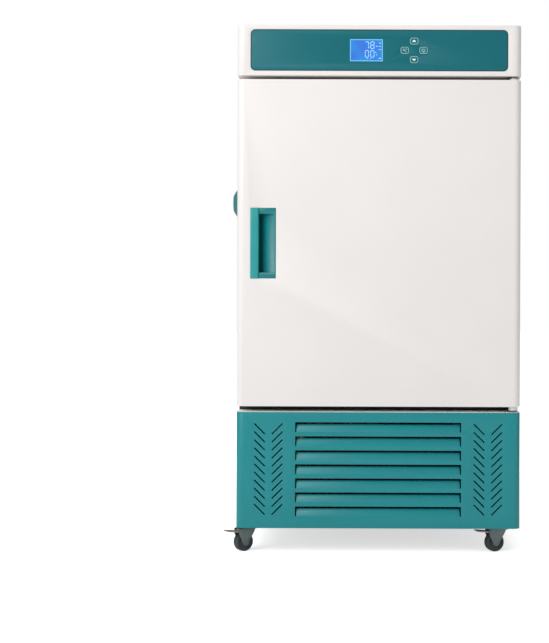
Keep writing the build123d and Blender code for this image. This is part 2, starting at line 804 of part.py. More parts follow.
# Refrigeration: compressor, condenser with its fan, drier and pipes
pan_top = pan_z + pan_t
compressor_x = 110.0
compressor_from_rear = 132.0
compressor_r = 76.0
compressor_h = 168.0
compressor_dome = 44.0
compressor_heel = 24.0
compressor_seam_w = 5.0
compressor_seam_t = 5.0
compressor_y = rear_y - compressor_from_rear
foot_h = 16.0
foot_r = 12.0
foot_x = 92.0
foot_y = 52.0
plate_t = 3.0
shell_z = pan_top + foot_h + plate_t
shell_mid = shell_z + compressor_h * 0.55
with BuildPart() as compressor:
    with BuildSketch(level(shell_z)):
        with Locations((compressor_x, compressor_y)):
            Circle(compressor_r)
    extrude(amount=compressor_h)
    fillet(compressor.edges().sort_by(Axis.Z)[-1], compressor_dome)
    fillet(compressor.edges().sort_by(Axis.Z)[0], compressor_heel)
    with BuildSketch(level(shell_mid)):
        with Locations((compressor_x, compressor_y)):
            Circle(compressor_r + compressor_seam_w)
    extrude(amount=compressor_seam_t)
    with BuildSketch(level(pan_top + foot_h)):
        with Locations((compressor_x, compressor_y)):
            RectangleRounded(2 * (foot_x + foot_r), 2 * (foot_y + foot_r), foot_r)
    extrude(amount=plate_t)
    with BuildSketch(side(compressor_x + compressor_r - 10.0)):
        with Locations((compressor_y, shell_z + compressor_h * 0.4)):
            RectangleRounded(58.0, 52.0, 6.0)
    extrude(amount=34.0)
    with BuildSketch(level(pan_top)):
        with Locations((compressor_x, compressor_y)):
            with GridLocations(2 * foot_x, 2 * foot_y, 2, 2):
                Circle(foot_r)
    extrude(amount=foot_h, taper=8)

condenser_w = 320.0
condenser_h = 180.0
condenser_d = 44.0
condenser_back = 130.0
condenser_rows = 6
condenser_tube_r = 4.0
condenser_fins = 18
condenser_end_t = 1.5
condenser_y = front_y + condenser_back - condenser_d / 2
condenser_lift = 14.0
condenser_z = pan_top + condenser_lift + condenser_h / 2
with BuildPart() as condenser:
    finned_coil(
        0,
        condenser_y,
        condenser_z,
        condenser_w,
        condenser_h,
        condenser_d,
        condenser_rows,
        condenser_tube_r,
        condenser_fins,
        coil_fin_t,
    )
    for x_side in (-1, 1):
        end_x = x_side * (condenser_w / 2 - condenser_end_t)
        span_box(
            (end_x - condenser_end_t, end_x + condenser_end_t),
            (condenser_y - condenser_d / 2, condenser_y + condenser_d / 2),
            (pan_top, condenser_z + condenser_h / 2 + 4.0),
        )

shroud_t = 1.5
shroud_ring_r = 80.0
shroud_ring_len = 26.0
strut_w = 8.0
strut_t = 3.0
shroud_motor_r = 30.0
shroud_motor_len = 46.0
shroud_y = condenser_y + condenser_d / 2
strut_y = shroud_y + shroud_t + shroud_ring_len
with BuildPart() as fan_shroud:
    with BuildSketch(front(shroud_y + shroud_t)):
        with Locations((0, (pan_top + condenser_z + condenser_h / 2) / 2)):
            Rectangle(condenser_w, condenser_z + condenser_h / 2 - pan_top)
        with Locations((0, condenser_z)):
            Circle(shroud_ring_r, mode=Mode.SUBTRACT)
    extrude(amount=shroud_t)
    with BuildSketch(front(strut_y)):
        with Locations((0, condenser_z)):
            Circle(shroud_ring_r + shroud_t)
            Circle(shroud_ring_r, mode=Mode.SUBTRACT)
    extrude(amount=shroud_ring_len)
    with BuildSketch(front(strut_y + strut_t)):
        with Locations((0, condenser_z)):
            Circle(shroud_motor_r)
            with PolarLocations((shroud_ring_r + shroud_t) / 2, 3, 90):
                Rectangle(shroud_ring_r + shroud_t, strut_w)
    extrude(amount=strut_t)
    with BuildSketch(front(strut_y + strut_t)):
        with Locations((0, condenser_z)):
            Circle(shroud_motor_r)
    extrude(amount=-shroud_motor_len)
    with BuildSketch(front(strut_y)):
        with Locations((0, condenser_z)):
            Circle(motor_shaft_r)
    extrude(amount=shroud_ring_len - 6.0)

condenser_fan_gap = 4.0
condenser_hub_back = strut_y - (shroud_ring_len - 6.0) + fan_hub_len - 3.0 - seat_gap
with BuildPart() as condenser_fan:
    axial_fan(
        condenser_z,
        condenser_hub_back,
        fan_hub_r + 6.0,
        fan_hub_len,
        shroud_ring_r - condenser_fan_gap,
        4,
        fan_blade_t,
        fan_chord,
        motor_shaft_r + shaft_gap,
    )

pipe_bend_r = 12.0
pipe_run = 26.0
discharge_z = shell_mid - 20.0
drier_r = 11.0
drier_len = 90.0
drier_from_shroud = 110.0
drier_y = shroud_y + drier_from_shroud
drier_end = 8.0
line_top_z = deck_z - deck_t - 20.0
coil_end_x = -condenser_w / 2 - pipe_run
row_pitch = condenser_h / condenser_rows
condenser_in_z = condenser_z + condenser_h / 2 - row_pitch / 2
condenser_out_z = condenser_z - condenser_h / 2 + row_pitch / 2
compressor_port_x = compressor_x - compressor_r
suction_z = shell_z + compressor_h - compressor_dome / 2
discharge_route = (
    (compressor_port_x, compressor_y, discharge_z),
    (compressor_port_x - pipe_run, compressor_y, discharge_z),
    (compressor_port_x - pipe_run, compressor_y, condenser_in_z),
    (coil_end_x, compressor_y, condenser_in_z),
    (coil_end_x, condenser_y, condenser_in_z),
    (-condenser_w / 2, condenser_y, condenser_in_z),
)
liquid_route = (
    (-condenser_w / 2, condenser_y, condenser_out_z),
    (coil_end_x, condenser_y, condenser_out_z),
    (coil_end_x, suction_y, condenser_out_z),
    (coil_end_x, suction_y, line_top_z),
    (suction_x, suction_y, line_top_z),
)
with BuildPart() as refrigerant_pipes:
    for route in (discharge_route, liquid_route):
        with BuildLine() as run:
            FilletPolyline([(cabinet_x + x, y, z) for x, y, z in route], radius=pipe_bend_r)
        with BuildSketch(Plane(run.wires()[0] @ 0, z_dir=run.wires()[0] % 0)):
            Circle(pipe_r)
        sweep(path=run.wires()[0])
    with BuildSketch(level(suction_z)):
        with Locations((suction_x, suction_y)):
            Circle(pipe_r)
    extrude(amount=coil_z - coil_h / 2 + coil_row_pitch / 2 - coil_tube_r - suction_z)
    add(compressor.part, mode=Mode.SUBTRACT)
    drier_centre = (cabinet_x + coil_end_x, drier_y, condenser_out_z)
    with BuildSketch(Plane(origin=drier_centre, x_dir=(1, 0, 0), z_dir=(0, 0, 1))):
        with BuildLine():
            Polyline(
                (0, -drier_len / 2),
                (pipe_r, -drier_len / 2),
                (drier_r, -drier_len / 2 + drier_end),
                (drier_r, drier_len / 2 - drier_end),
                (pipe_r, drier_len / 2),
                (0, drier_len / 2),
                close=True,
            )
        make_face()
    revolve(axis=Axis(drier_centre, (0, 1, 0)))

# Mains inlet with its rocker switch, in the base rear panel
inlet_flange = 4.0
inlet_flange_t = 2.5
inlet_body_w = 26.8
inlet_body_h = 46.4
inlet_body_len = 32.0
socket_w = 24.0
socket_h = 16.5
socket_depth = 16.0
socket_r = 3.0
socket_z = inlet_z - 11.0
pin_w = 4.0
pin_t = 2.0
pin_pitch = 7.0
rocker_w = 19.0
rocker_h = 13.0
rocker_z = inlet_z + 12.5
rocker_gap = 0.7
rocker_depth = 11.0
rocker_tilt = 8.0
rocker_pin_r = 1.5
rocker_axis_y = rear_y + inlet_flange_t - 4.5


def rear(y):
    """Upright plane at depth y that faces the rear, with sketch axes (-x, z)."""
    return Plane(origin=(cabinet_x, y, 0), x_dir=(-1, 0, 0), z_dir=(0, 1, 0))


with BuildPart() as mains_inlet:
    with BuildSketch(rear(rear_y)):
        with Locations((-inlet_x, inlet_z)):
            RectangleRounded(inlet_cut_w + 2 * inlet_flange, inlet_cut_h + 2 * inlet_flange, 3.0)
    extrude(amount=inlet_flange_t)
    with BuildSketch(rear(rear_y)):
        with Locations((-inlet_x, inlet_z)):
            Rectangle(inlet_body_w, inlet_body_h)
    extrude(amount=-inlet_body_len)
    with BuildSketch(rear(rear_y + inlet_flange_t)):
        with Locations((-inlet_x, socket_z)):
            RectangleRounded(socket_w, socket_h, socket_r)
    extrude(amount=-socket_depth - inlet_flange_t, mode=Mode.SUBTRACT)
    with BuildSketch(rear(rear_y + inlet_flange_t)):
        with Locations((-inlet_x, rocker_z)):
            Rectangle(rocker_w + 2 * rocker_gap, rocker_h + 2 * rocker_gap)
    extrude(amount=-rocker_depth - inlet_flange_t, mode=Mode.SUBTRACT)
    with BuildSketch(rear(rear_y - socket_depth)):
        with Locations(
            (-inlet_x - pin_pitch, socket_z - 2), (-inlet_x, socket_z + 2), (-inlet_x + pin_pitch, socket_z - 2)
        ):
            Rectangle(pin_t, pin_w)
    extrude(amount=socket_depth - 4.0)
    with BuildSketch(side(inlet_x - rocker_w / 2 - rocker_gap)):
        with Locations((rocker_axis_y, rocker_z)):
            Circle(rocker_pin_r)
    extrude(amount=rocker_w + 2 * rocker_gap)

with BuildPart() as power_rocker:
    with BuildSketch(side(inlet_x - rocker_w / 2)):
        with BuildLine():
            Polyline(
                (rocker_axis_y - 4.5, rocker_z - 3.0),
                (rocker_axis_y + 4.5, rocker_z - rocker_h / 2),
                (rocker_axis_y + 3.6, rocker_z),
                (rocker_axis_y + 4.5, rocker_z + rocker_h / 2),
                (rocker_axis_y - 4.5, rocker_z + 3.0),
                close=True,
            )
        make_face()
        with Locations((rocker_axis_y, rocker_z)):
            Circle(rocker_pin_r + shaft_gap, mode=Mode.SUBTRACT)
    extrude(amount=rocker_w)

# Door: skin, foam, liner, seal, handle and hinges
hinge_inset = corner_r
hinge_x = half_w - hinge_inset
hinge_y = front_y + hinge_inset
hinge_pin_r = 4.0
hinge_pin_len = 14.0
bush_wall = 2.0
bush_flange_r = 9.0
bush_r = hinge_pin_r + shaft_gap + bush_wall
bush_len = hinge_pin_len + 4.0
bracket_t = 4.0
bracket_leg_t = 3.0
bracket_leg_h = 14.0
bracket_w = 16.0
door_skin_t = 1.2
door_back_y = front_y + door_t
door_liner_t = 2.5
door_panel_depth = 7.0
door_panel_inset = 34.0
door_panel_r = 14.0

handle_w = 54.0
handle_h = 149.0
handle_inset = 29.0
handle_z = 657.0
handle_depth = 36.0
handle_wall = 3.0
grip_w = 17.7
grip_t = 11.0
grip_proud = 3.0
grip_edge_r = 3.5
finger_slot = 9.0
finger_depth = 27.0
recess_end = 12.5
handle_x = -half_w + handle_inset + handle_w / 2
handle_left = handle_x - handle_w / 2
handle_right = handle_x + handle_w / 2
grip_right = handle_left + grip_w

with BuildPart() as door_skin:
    with BuildSketch(level(door_z)):
        rounded_front(cabinet_w, front_y, door_back_y, corner_r)
    extrude(amount=door_h)
    with BuildSketch(level(door_z + door_skin_t)):
        rounded_front(
            cabinet_w - 2 * door_skin_t, front_y + door_skin_t, door_back_y, corner_r - door_skin_t
        )
    extrude(amount=door_h - 2 * door_skin_t, mode=Mode.SUBTRACT)
    with BuildSketch(front(front_y)):
        with Locations((handle_x, handle_z)):
            Rectangle(handle_w, handle_h)
    extrude(amount=-2 * door_skin_t, mode=Mode.SUBTRACT)
    with BuildSketch(level(door_z)):
        with Locations((hinge_x, hinge_y)):
            Circle(bush_r)
    extrude(amount=door_h, mode=Mode.SUBTRACT)

foam_door_back_y = door_back_y - door_liner_t
with BuildPart() as door_foam:
    with BuildSketch(level(door_z + door_skin_t)):
        rounded_front(
            cabinet_w - 2 * door_skin_t, front_y + door_skin_t, foam_door_back_y, corner_r - door_skin_t
        )
    extrude(amount=door_h - 2 * door_skin_t)
    span_box(
        (handle_left, handle_right),
        (front_y, front_y + handle_depth),
        (handle_z - handle_h / 2, handle_z + handle_h / 2),
        Mode.SUBTRACT,
    )
    with BuildSketch(level(door_z), level(door_top - bush_len)):
        with Locations((hinge_x, hinge_y)):
            Circle(bush_r)
    extrude(amount=bush_len, mode=Mode.SUBTRACT)

with BuildPart() as door_liner:
    with BuildSketch(front(door_back_y)):
        with Locations((0, (door_z + door_top) / 2)):
            Rectangle(cabinet_w - 2 * door_skin_t, door_h - 2 * door_skin_t)
    extrude(amount=door_liner_t)
    with BuildSketch(front(door_back_y)):
        with Locations((0, (door_z + door_top) / 2)):
            RectangleRounded(
                cabinet_w - 2 * (gasket_inset_x + door_panel_inset),
                door_h - 2 * (gasket_inset_z + door_panel_inset),
                door_panel_r,
            )
    extrude(amount=-door_panel_depth, taper=20)

gasket_bulb = 4.0
gasket_back_y = face_y - seat_gap
with BuildPart() as door_gasket:
    gasket_outer_w = cabinet_w - 2 * gasket_inset_x
    gasket_outer_h = door_h - 2 * gasket_inset_z
    with BuildSketch(front(gasket_back_y)):
        with Locations((0, (door_z + door_top) / 2)):
            Rectangle(gasket_outer_w, gasket_outer_h)
            Rectangle(gasket_outer_w - 2 * gasket_w, gasket_outer_h - 2 * gasket_w, mode=Mode.SUBTRACT)
    extrude(amount=gasket_back_y - door_back_y)
    with BuildSketch(front(door_back_y + 3.0)):
        with Locations((0, (door_z + door_top) / 2)):
            Rectangle(gasket_outer_w, gasket_outer_h)
            Rectangle(gasket_outer_w - gasket_bulb, gasket_outer_h - gasket_bulb, mode=Mode.SUBTRACT)
    extrude(amount=-3.0, mode=Mode.SUBTRACT)

with BuildPart() as handle_cup:
    with BuildSketch(level(handle_z - handle_h / 2)):
        with Locations((handle_x, front_y + handle_depth / 2)):
            Rectangle(handle_w, handle_depth)
    extrude(amount=handle_h)
    with BuildSketch(level(handle_z - handle_h / 2 + recess_end)):
        with BuildLine():
            Polyline(
                (handle_right - handle_wall, front_y),
                (grip_right + finger_slot, front_y + finger_depth * 0.55),
                (grip_right, front_y + finger_depth),
                (handle_left + 2 * handle_wall, front_y + finger_depth),
                (handle_left + handle_wall, front_y + finger_depth - handle_wall),
                (handle_left + handle_wall, front_y),
                close=True,
            )
        make_face()
    extrude(amount=handle_h - 2 * recess_end, mode=Mode.SUBTRACT)
    with BuildSketch(level(handle_z - handle_h / 2)):
        with Locations((handle_left + grip_w / 2, front_y + (grip_t - grip_proud) / 2)):
            Rectangle(grip_w + 2 * seat_gap, grip_t - grip_proud)
    extrude(amount=handle_h, mode=Mode.SUBTRACT)

with BuildPart() as door_handle:
    with BuildSketch(level(handle_z - handle_h / 2)) as grip:
        with Locations((handle_left + grip_w / 2, front_y - grip_proud + grip_t / 2)):
            Rectangle(grip_w, grip_t)
        fillet(grip.vertices().group_by(Axis.Y)[0], grip_edge_r)
        fillet(grip.vertices().group_by(Axis.Y)[-1].sort_by(Axis.X)[-1], grip_edge_r)
    extrude(amount=handle_h)
    chamfer(
        door_handle.faces().filter_by(Axis.Z).edges().group_by(Axis.Y)[0],
        grip_edge_r / 2,
    )

with BuildPart() as hinge_bushes:
    for bush_z, up, flange in (
        (door_z, 1, under_door_gap - bracket_t - seat_gap),
        (door_top, -1, over_door_gap - bracket_t - seat_gap),
    ):
        with BuildSketch(level(bush_z)):
            with Locations((hinge_x, hinge_y)):
                Circle(bush_r)
                Circle(hinge_pin_r + shaft_gap, mode=Mode.SUBTRACT)
        extrude(amount=up * bush_len)
        with BuildSketch(level(bush_z)):
            with Locations((hinge_x, hinge_y)):
                Circle(bush_flange_r)
                Circle(hinge_pin_r + shaft_gap, mode=Mode.SUBTRACT)
        extrude(amount=-up * flange)

with BuildPart() as hinge_brackets:
    for plate_z, up, gap in ((deck_z, 1, under_door_gap), (header_z, -1, over_door_gap)):
        with BuildSketch(level(plate_z)):
            with Locations((hinge_x, (hinge_y + face_y) / 2)):
                Rectangle(bracket_w, face_y - hinge_y)
            with Locations((hinge_x, hinge_y)):
                Circle(bracket_w / 2)
        extrude(amount=up * bracket_t)
        with BuildSketch(level(plate_z + up * bracket_t)):
            with Locations((hinge_x, face_y - bracket_leg_t / 2)):
                Rectangle(bracket_w, bracket_leg_t)
        extrude(amount=up * bracket_leg_h)
        with BuildSketch(level(plate_z + up * bracket_t)):
            with Locations((hinge_x, hinge_y)):
                Circle(hinge_pin_r)
        extrude(amount=up * (gap - bracket_t + hinge_pin_len))

# Casters
stem_inset = 30.0
stem_from_front = 58.0
stem_from_rear = 40.0
caster_plate = 52.0
caster_plate_t = 2.5
caster_plate_r = 6.0
caster_trail = 22.0
wheel_r = 20.0
wheel_w = 17.0
wheel_hub_r = 11.0
wheel_recess = 2.0
axle_r = 3.0
fork_t = 2.0
fork_gap = 1.0
fork_crown_t = 3.0
fork_ear_r = 8.0
race_r = 15.0
race_h = 4.0
swivel_gap = 0.3
stem_r = 4.0
stem_end = 1.0
crown_top = caster_h - caster_plate_t - race_h - swivel_gap
casters = {
    "front_left": (-1, front_y + stem_from_front, -145.0),
    "front_right": (1, front_y + stem_from_front, -160.0),
    "rear_left": (-1, rear_y - stem_from_rear, 80.0),
    "rear_right": (1, rear_y - stem_from_rear, 100.0),
}
pedal_reach = 64.0
pedal_w = 24.0
pedal_t = 2.0
pedal_rise = 3.0
pedal_pivot_r = 2.5
braked = ("front_left", "front_right")

with BuildPart() as caster_plates:
    for x_side, stem_y, heading in casters.values():
        stem_x = x_side * (half_w - stem_inset)
        with BuildSketch(level(pan_z)):
            with Locations((stem_x, stem_y)):
                RectangleRounded(caster_plate, caster_plate, caster_plate_r)
        extrude(amount=-caster_plate_t)
        with BuildSketch(level(pan_z - caster_plate_t)):
            with Locations((stem_x, stem_y)):
                Circle(race_r)
        extrude(amount=-race_h, taper=20)
        with BuildSketch(level(pan_z - caster_plate_t - race_h)):
            with Locations((stem_x, stem_y)):
                Circle(stem_r)
        extrude(amount=-(swivel_gap + fork_crown_t + stem_end))

pedal_pivot_x = caster_trail + 10.0
pedal_pivot_z = 2 * wheel_r + 3.0
pedal_barrel_r = 4.5
ear_in = wheel_w / 2 + fork_gap
ear_out = ear_in + fork_t
crown_end = caster_trail + 4.0
ear_end = pedal_pivot_x + 6.0


def caster_plane(stem, heading, upright=False):
    """Plane at a caster's stem whose sketch x runs towards its wheel, level or upright."""
    x_dir = Vector(1, 0, 0).rotate(Axis.Z, heading)
    z_dir = x_dir.cross(Vector(0, 0, 1)) if upright else Vector(0, 0, 1)
    return Plane(origin=(cabinet_x + stem[0], stem[1], 0), x_dir=x_dir, z_dir=z_dir)


caster_forks = {}
caster_wheels = {}
brake_pedals = {}
for name, (x_side, stem_y, heading) in casters.items():
    stem = (x_side * (half_w - stem_inset), stem_y)
    flat = caster_plane(stem, heading)
    upright = caster_plane(stem, heading, upright=True)
    with BuildPart() as caster_fork:
        with BuildSketch(flat.offset(crown_top - fork_crown_t)):
            Circle(ear_out)
            with Locations((crown_end / 2, 0)):
                Rectangle(crown_end, 2 * ear_out)
            Circle(stem_r + shaft_gap, mode=Mode.SUBTRACT)
        extrude(amount=fork_crown_t)
        for ear_side in (-1, 1):
            with BuildSketch(upright.offset(ear_side * ear_in)):
                Polygon(
                    (0, crown_top),
                    (ear_end, crown_top),
                    (ear_end, pedal_pivot_z - 5.0),
                    (caster_trail + fork_ear_r, wheel_r),
                    (caster_trail - fork_ear_r, wheel_r),
                    (0, crown_top - 2 * fork_crown_t),
                    align=None,
                )
                with Locations((caster_trail, wheel_r)):
                    Circle(fork_ear_r)
            extrude(amount=ear_side * fork_t)
        with BuildSketch(upright.offset(-ear_out)):
            with Locations((caster_trail, wheel_r)):
                Circle(axle_r)
            if name in braked:
                with Locations((pedal_pivot_x, pedal_pivot_z)):
                    Circle(pedal_pivot_r)
        extrude(amount=2 * ear_out)
    caster_forks[name] = caster_fork

    with BuildPart() as caster_wheel:
        with BuildSketch(upright.offset(-wheel_w / 2)):
            with Locations((caster_trail, wheel_r)):
                Circle(wheel_r)
        extrude(amount=wheel_w)
        fillet(caster_wheel.edges().filter_by(GeomType.CIRCLE), 2.5)
        for face_side in (-1, 1):
            with BuildSketch(upright.offset(face_side * (wheel_w / 2 - wheel_recess))):
                with Locations((caster_trail, wheel_r)):
                    Circle(wheel_r - 5.0)
                    Circle(wheel_hub_r - 3.0, mode=Mode.SUBTRACT)
            extrude(amount=face_side * wheel_recess, mode=Mode.SUBTRACT)
        with BuildSketch(upright.offset(-wheel_w / 2)):
            with Locations((caster_trail, wheel_r)):
                Circle(axle_r + shaft_gap)
        extrude(amount=wheel_w, mode=Mode.SUBTRACT)
    caster_wheels[name] = caster_wheel

    if name in braked:
        with BuildPart() as brake_pedal:
            with BuildSketch(upright.offset(-ear_in + seat_gap)):
                with Locations((pedal_pivot_x, pedal_pivot_z)):
                    Circle(pedal_barrel_r)
                Polygon(
                    (pedal_pivot_x, pedal_pivot_z - pedal_t / 2),
                    (pedal_reach, pedal_pivot_z + pedal_rise - pedal_t / 2),
                    (pedal_reach, pedal_pivot_z + pedal_rise + pedal_t / 2),
                    (pedal_pivot_x, pedal_pivot_z + pedal_t / 2),
                    align=None,
                )
                with Locations((pedal_pivot_x, pedal_pivot_z)):
                    Circle(pedal_pivot_r + shaft_gap, mode=Mode.SUBTRACT)
            extrude(amount=2 * (ear_in - seat_gap))
            with BuildSketch(upright.offset(-pedal_w / 2)):
                Polygon(
                    (ear_end + 2.0, pedal_pivot_z + pedal_t / 2 - pedal_t),
                    (pedal_reach, pedal_pivot_z + pedal_rise - pedal_t / 2),
                    (pedal_reach, pedal_pivot_z + pedal_rise + pedal_t / 2),
                    (ear_end + 2.0, pedal_pivot_z + pedal_t / 2 + 0.5),
                    align=None,
                )
            extrude(amount=pedal_w)
        brake_pedals[name] = brake_pedal

# Every piece under its name
pieces = {
    "base_pan": base_pan,
    "base_posts": base_posts,
    "base_deck": base_deck,
    "base_front_cover": base_front_cover,
    "base_side_left": base_sides["left"],
    "base_side_right": base_sides["right"],
    "base_rear_panel": base_rear_panel,
    "foam_core": foam_core,
    "chamber_liner": chamber_liner,
    "front_frame": front_frame,
    "side_panel_left": cabinet_sides["left"],
    "side_panel_right": cabinet_sides["right"],
    "top_panel": top_panel,
    "back_panel": back_panel,
    "port_tube": port_tube,
    "port_cap": port_cap,
    "header_cover": header_cover,
    "control_fascia": control_fascia,
    "display_window": display_window,
    "control_board": control_board,
    "electronics_tray": electronics_tray,
    "shelf_rails": shelf_rails,
    "shelf_lower": shelves["lower"],
    "shelf_upper": shelves["upper"],
    "duct_cover": duct_cover,
    "fan_motor": fan_motor,
    "chamber_fan": chamber_fan,
    "evaporator": evaporator,
    "heater": heater,
    "air_sensor": air_sensor,
    "compressor": compressor,
    "condenser": condenser,
    "fan_shroud": fan_shroud,
    "condenser_fan": condenser_fan,
    "refrigerant_pipes": refrigerant_pipes,
    "mains_inlet": mains_inlet,
    "power_rocker": power_rocker,
    "door_skin": door_skin,
    "door_foam": door_foam,
    "door_liner": door_liner,
    "door_gasket": door_gasket,
    "handle_cup": handle_cup,
    "door_handle": door_handle,
    "hinge_bushes": hinge_bushes,
    "hinge_brackets": hinge_brackets,
    "caster_plates": caster_plates,
}
pieces.update({f"key_{name}": piece for name, piece in key_pieces.items()})
pieces.update({f"fork_{name}": piece for name, piece in caster_forks.items()})
pieces.update({f"wheel_{name}": piece for name, piece in caster_wheels.items()})
pieces.update({f"brake_{name}": piece for name, piece in brake_pedals.items()})

for label, piece in pieces.items():
    piece.part.label = label
    export_step(piece.part, f"parts/{label}.step")
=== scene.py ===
"""Looks of the refrigerated incubator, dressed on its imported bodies."""

import json
import logging
import math
from collections.abc import Iterable, Sequence
from dataclasses import dataclass, field
from enum import Enum

import bmesh
import bpy
from mathutils import Matrix, Vector

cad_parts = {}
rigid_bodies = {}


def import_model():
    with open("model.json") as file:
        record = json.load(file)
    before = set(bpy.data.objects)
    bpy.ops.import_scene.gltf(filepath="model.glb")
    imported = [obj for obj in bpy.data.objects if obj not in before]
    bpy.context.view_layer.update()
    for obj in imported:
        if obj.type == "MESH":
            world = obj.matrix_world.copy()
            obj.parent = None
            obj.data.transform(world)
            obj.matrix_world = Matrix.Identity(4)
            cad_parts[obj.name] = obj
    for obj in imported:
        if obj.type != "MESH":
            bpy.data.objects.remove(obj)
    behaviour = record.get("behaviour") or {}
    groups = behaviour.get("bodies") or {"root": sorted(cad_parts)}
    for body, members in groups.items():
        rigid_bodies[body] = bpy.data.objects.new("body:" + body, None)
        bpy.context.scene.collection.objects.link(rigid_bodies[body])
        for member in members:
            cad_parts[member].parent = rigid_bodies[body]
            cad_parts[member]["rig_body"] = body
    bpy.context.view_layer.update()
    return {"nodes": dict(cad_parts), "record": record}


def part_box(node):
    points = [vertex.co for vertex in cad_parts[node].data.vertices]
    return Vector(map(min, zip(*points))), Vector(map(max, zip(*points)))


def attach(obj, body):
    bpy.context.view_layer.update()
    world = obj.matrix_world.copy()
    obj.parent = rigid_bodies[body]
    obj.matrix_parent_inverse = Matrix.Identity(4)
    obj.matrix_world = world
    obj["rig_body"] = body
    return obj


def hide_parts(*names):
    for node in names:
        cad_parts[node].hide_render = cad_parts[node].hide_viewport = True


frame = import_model()

log = logging.getLogger("incubator")
MM = 0.001
NOISE_SPAN = (0.3, 0.7)
WHITE_LIGHT = (1.0, 1.0, 1.0, 1.0)
Colour = tuple[float, float, float]


class Glyph(Enum):
    """The mark printed on a key."""

    UP = "up"
    DOWN = "down"
    SET = "set"
    LIGHT = "light"


def linear(red: int, green: int, blue: int) -> Colour:
    """Turn an eight-bit display colour into linear light.

    Args:
        red: Red, 0 to 255.
        green: Green, 0 to 255.
        blue: Blue, 0 to 255.

    Returns:
        The three linear values, 0 to 1.
    """
    return tuple(
        c / 255 / 12.92 if c / 255 <= 0.04045 else ((c / 255 + 0.055) / 1.055) ** 2.4
        for c in (red, green, blue)
    )


def varied(colour: Colour, gain: float) -> Colour:
    """Scale a colour's brightness.

    Args:
        colour: Linear colour.
        gain: Factor on every channel.

    Returns:
        The scaled colour, kept at 1 or below.
    """
    return tuple(min(1.0, c * gain) for c in colour)


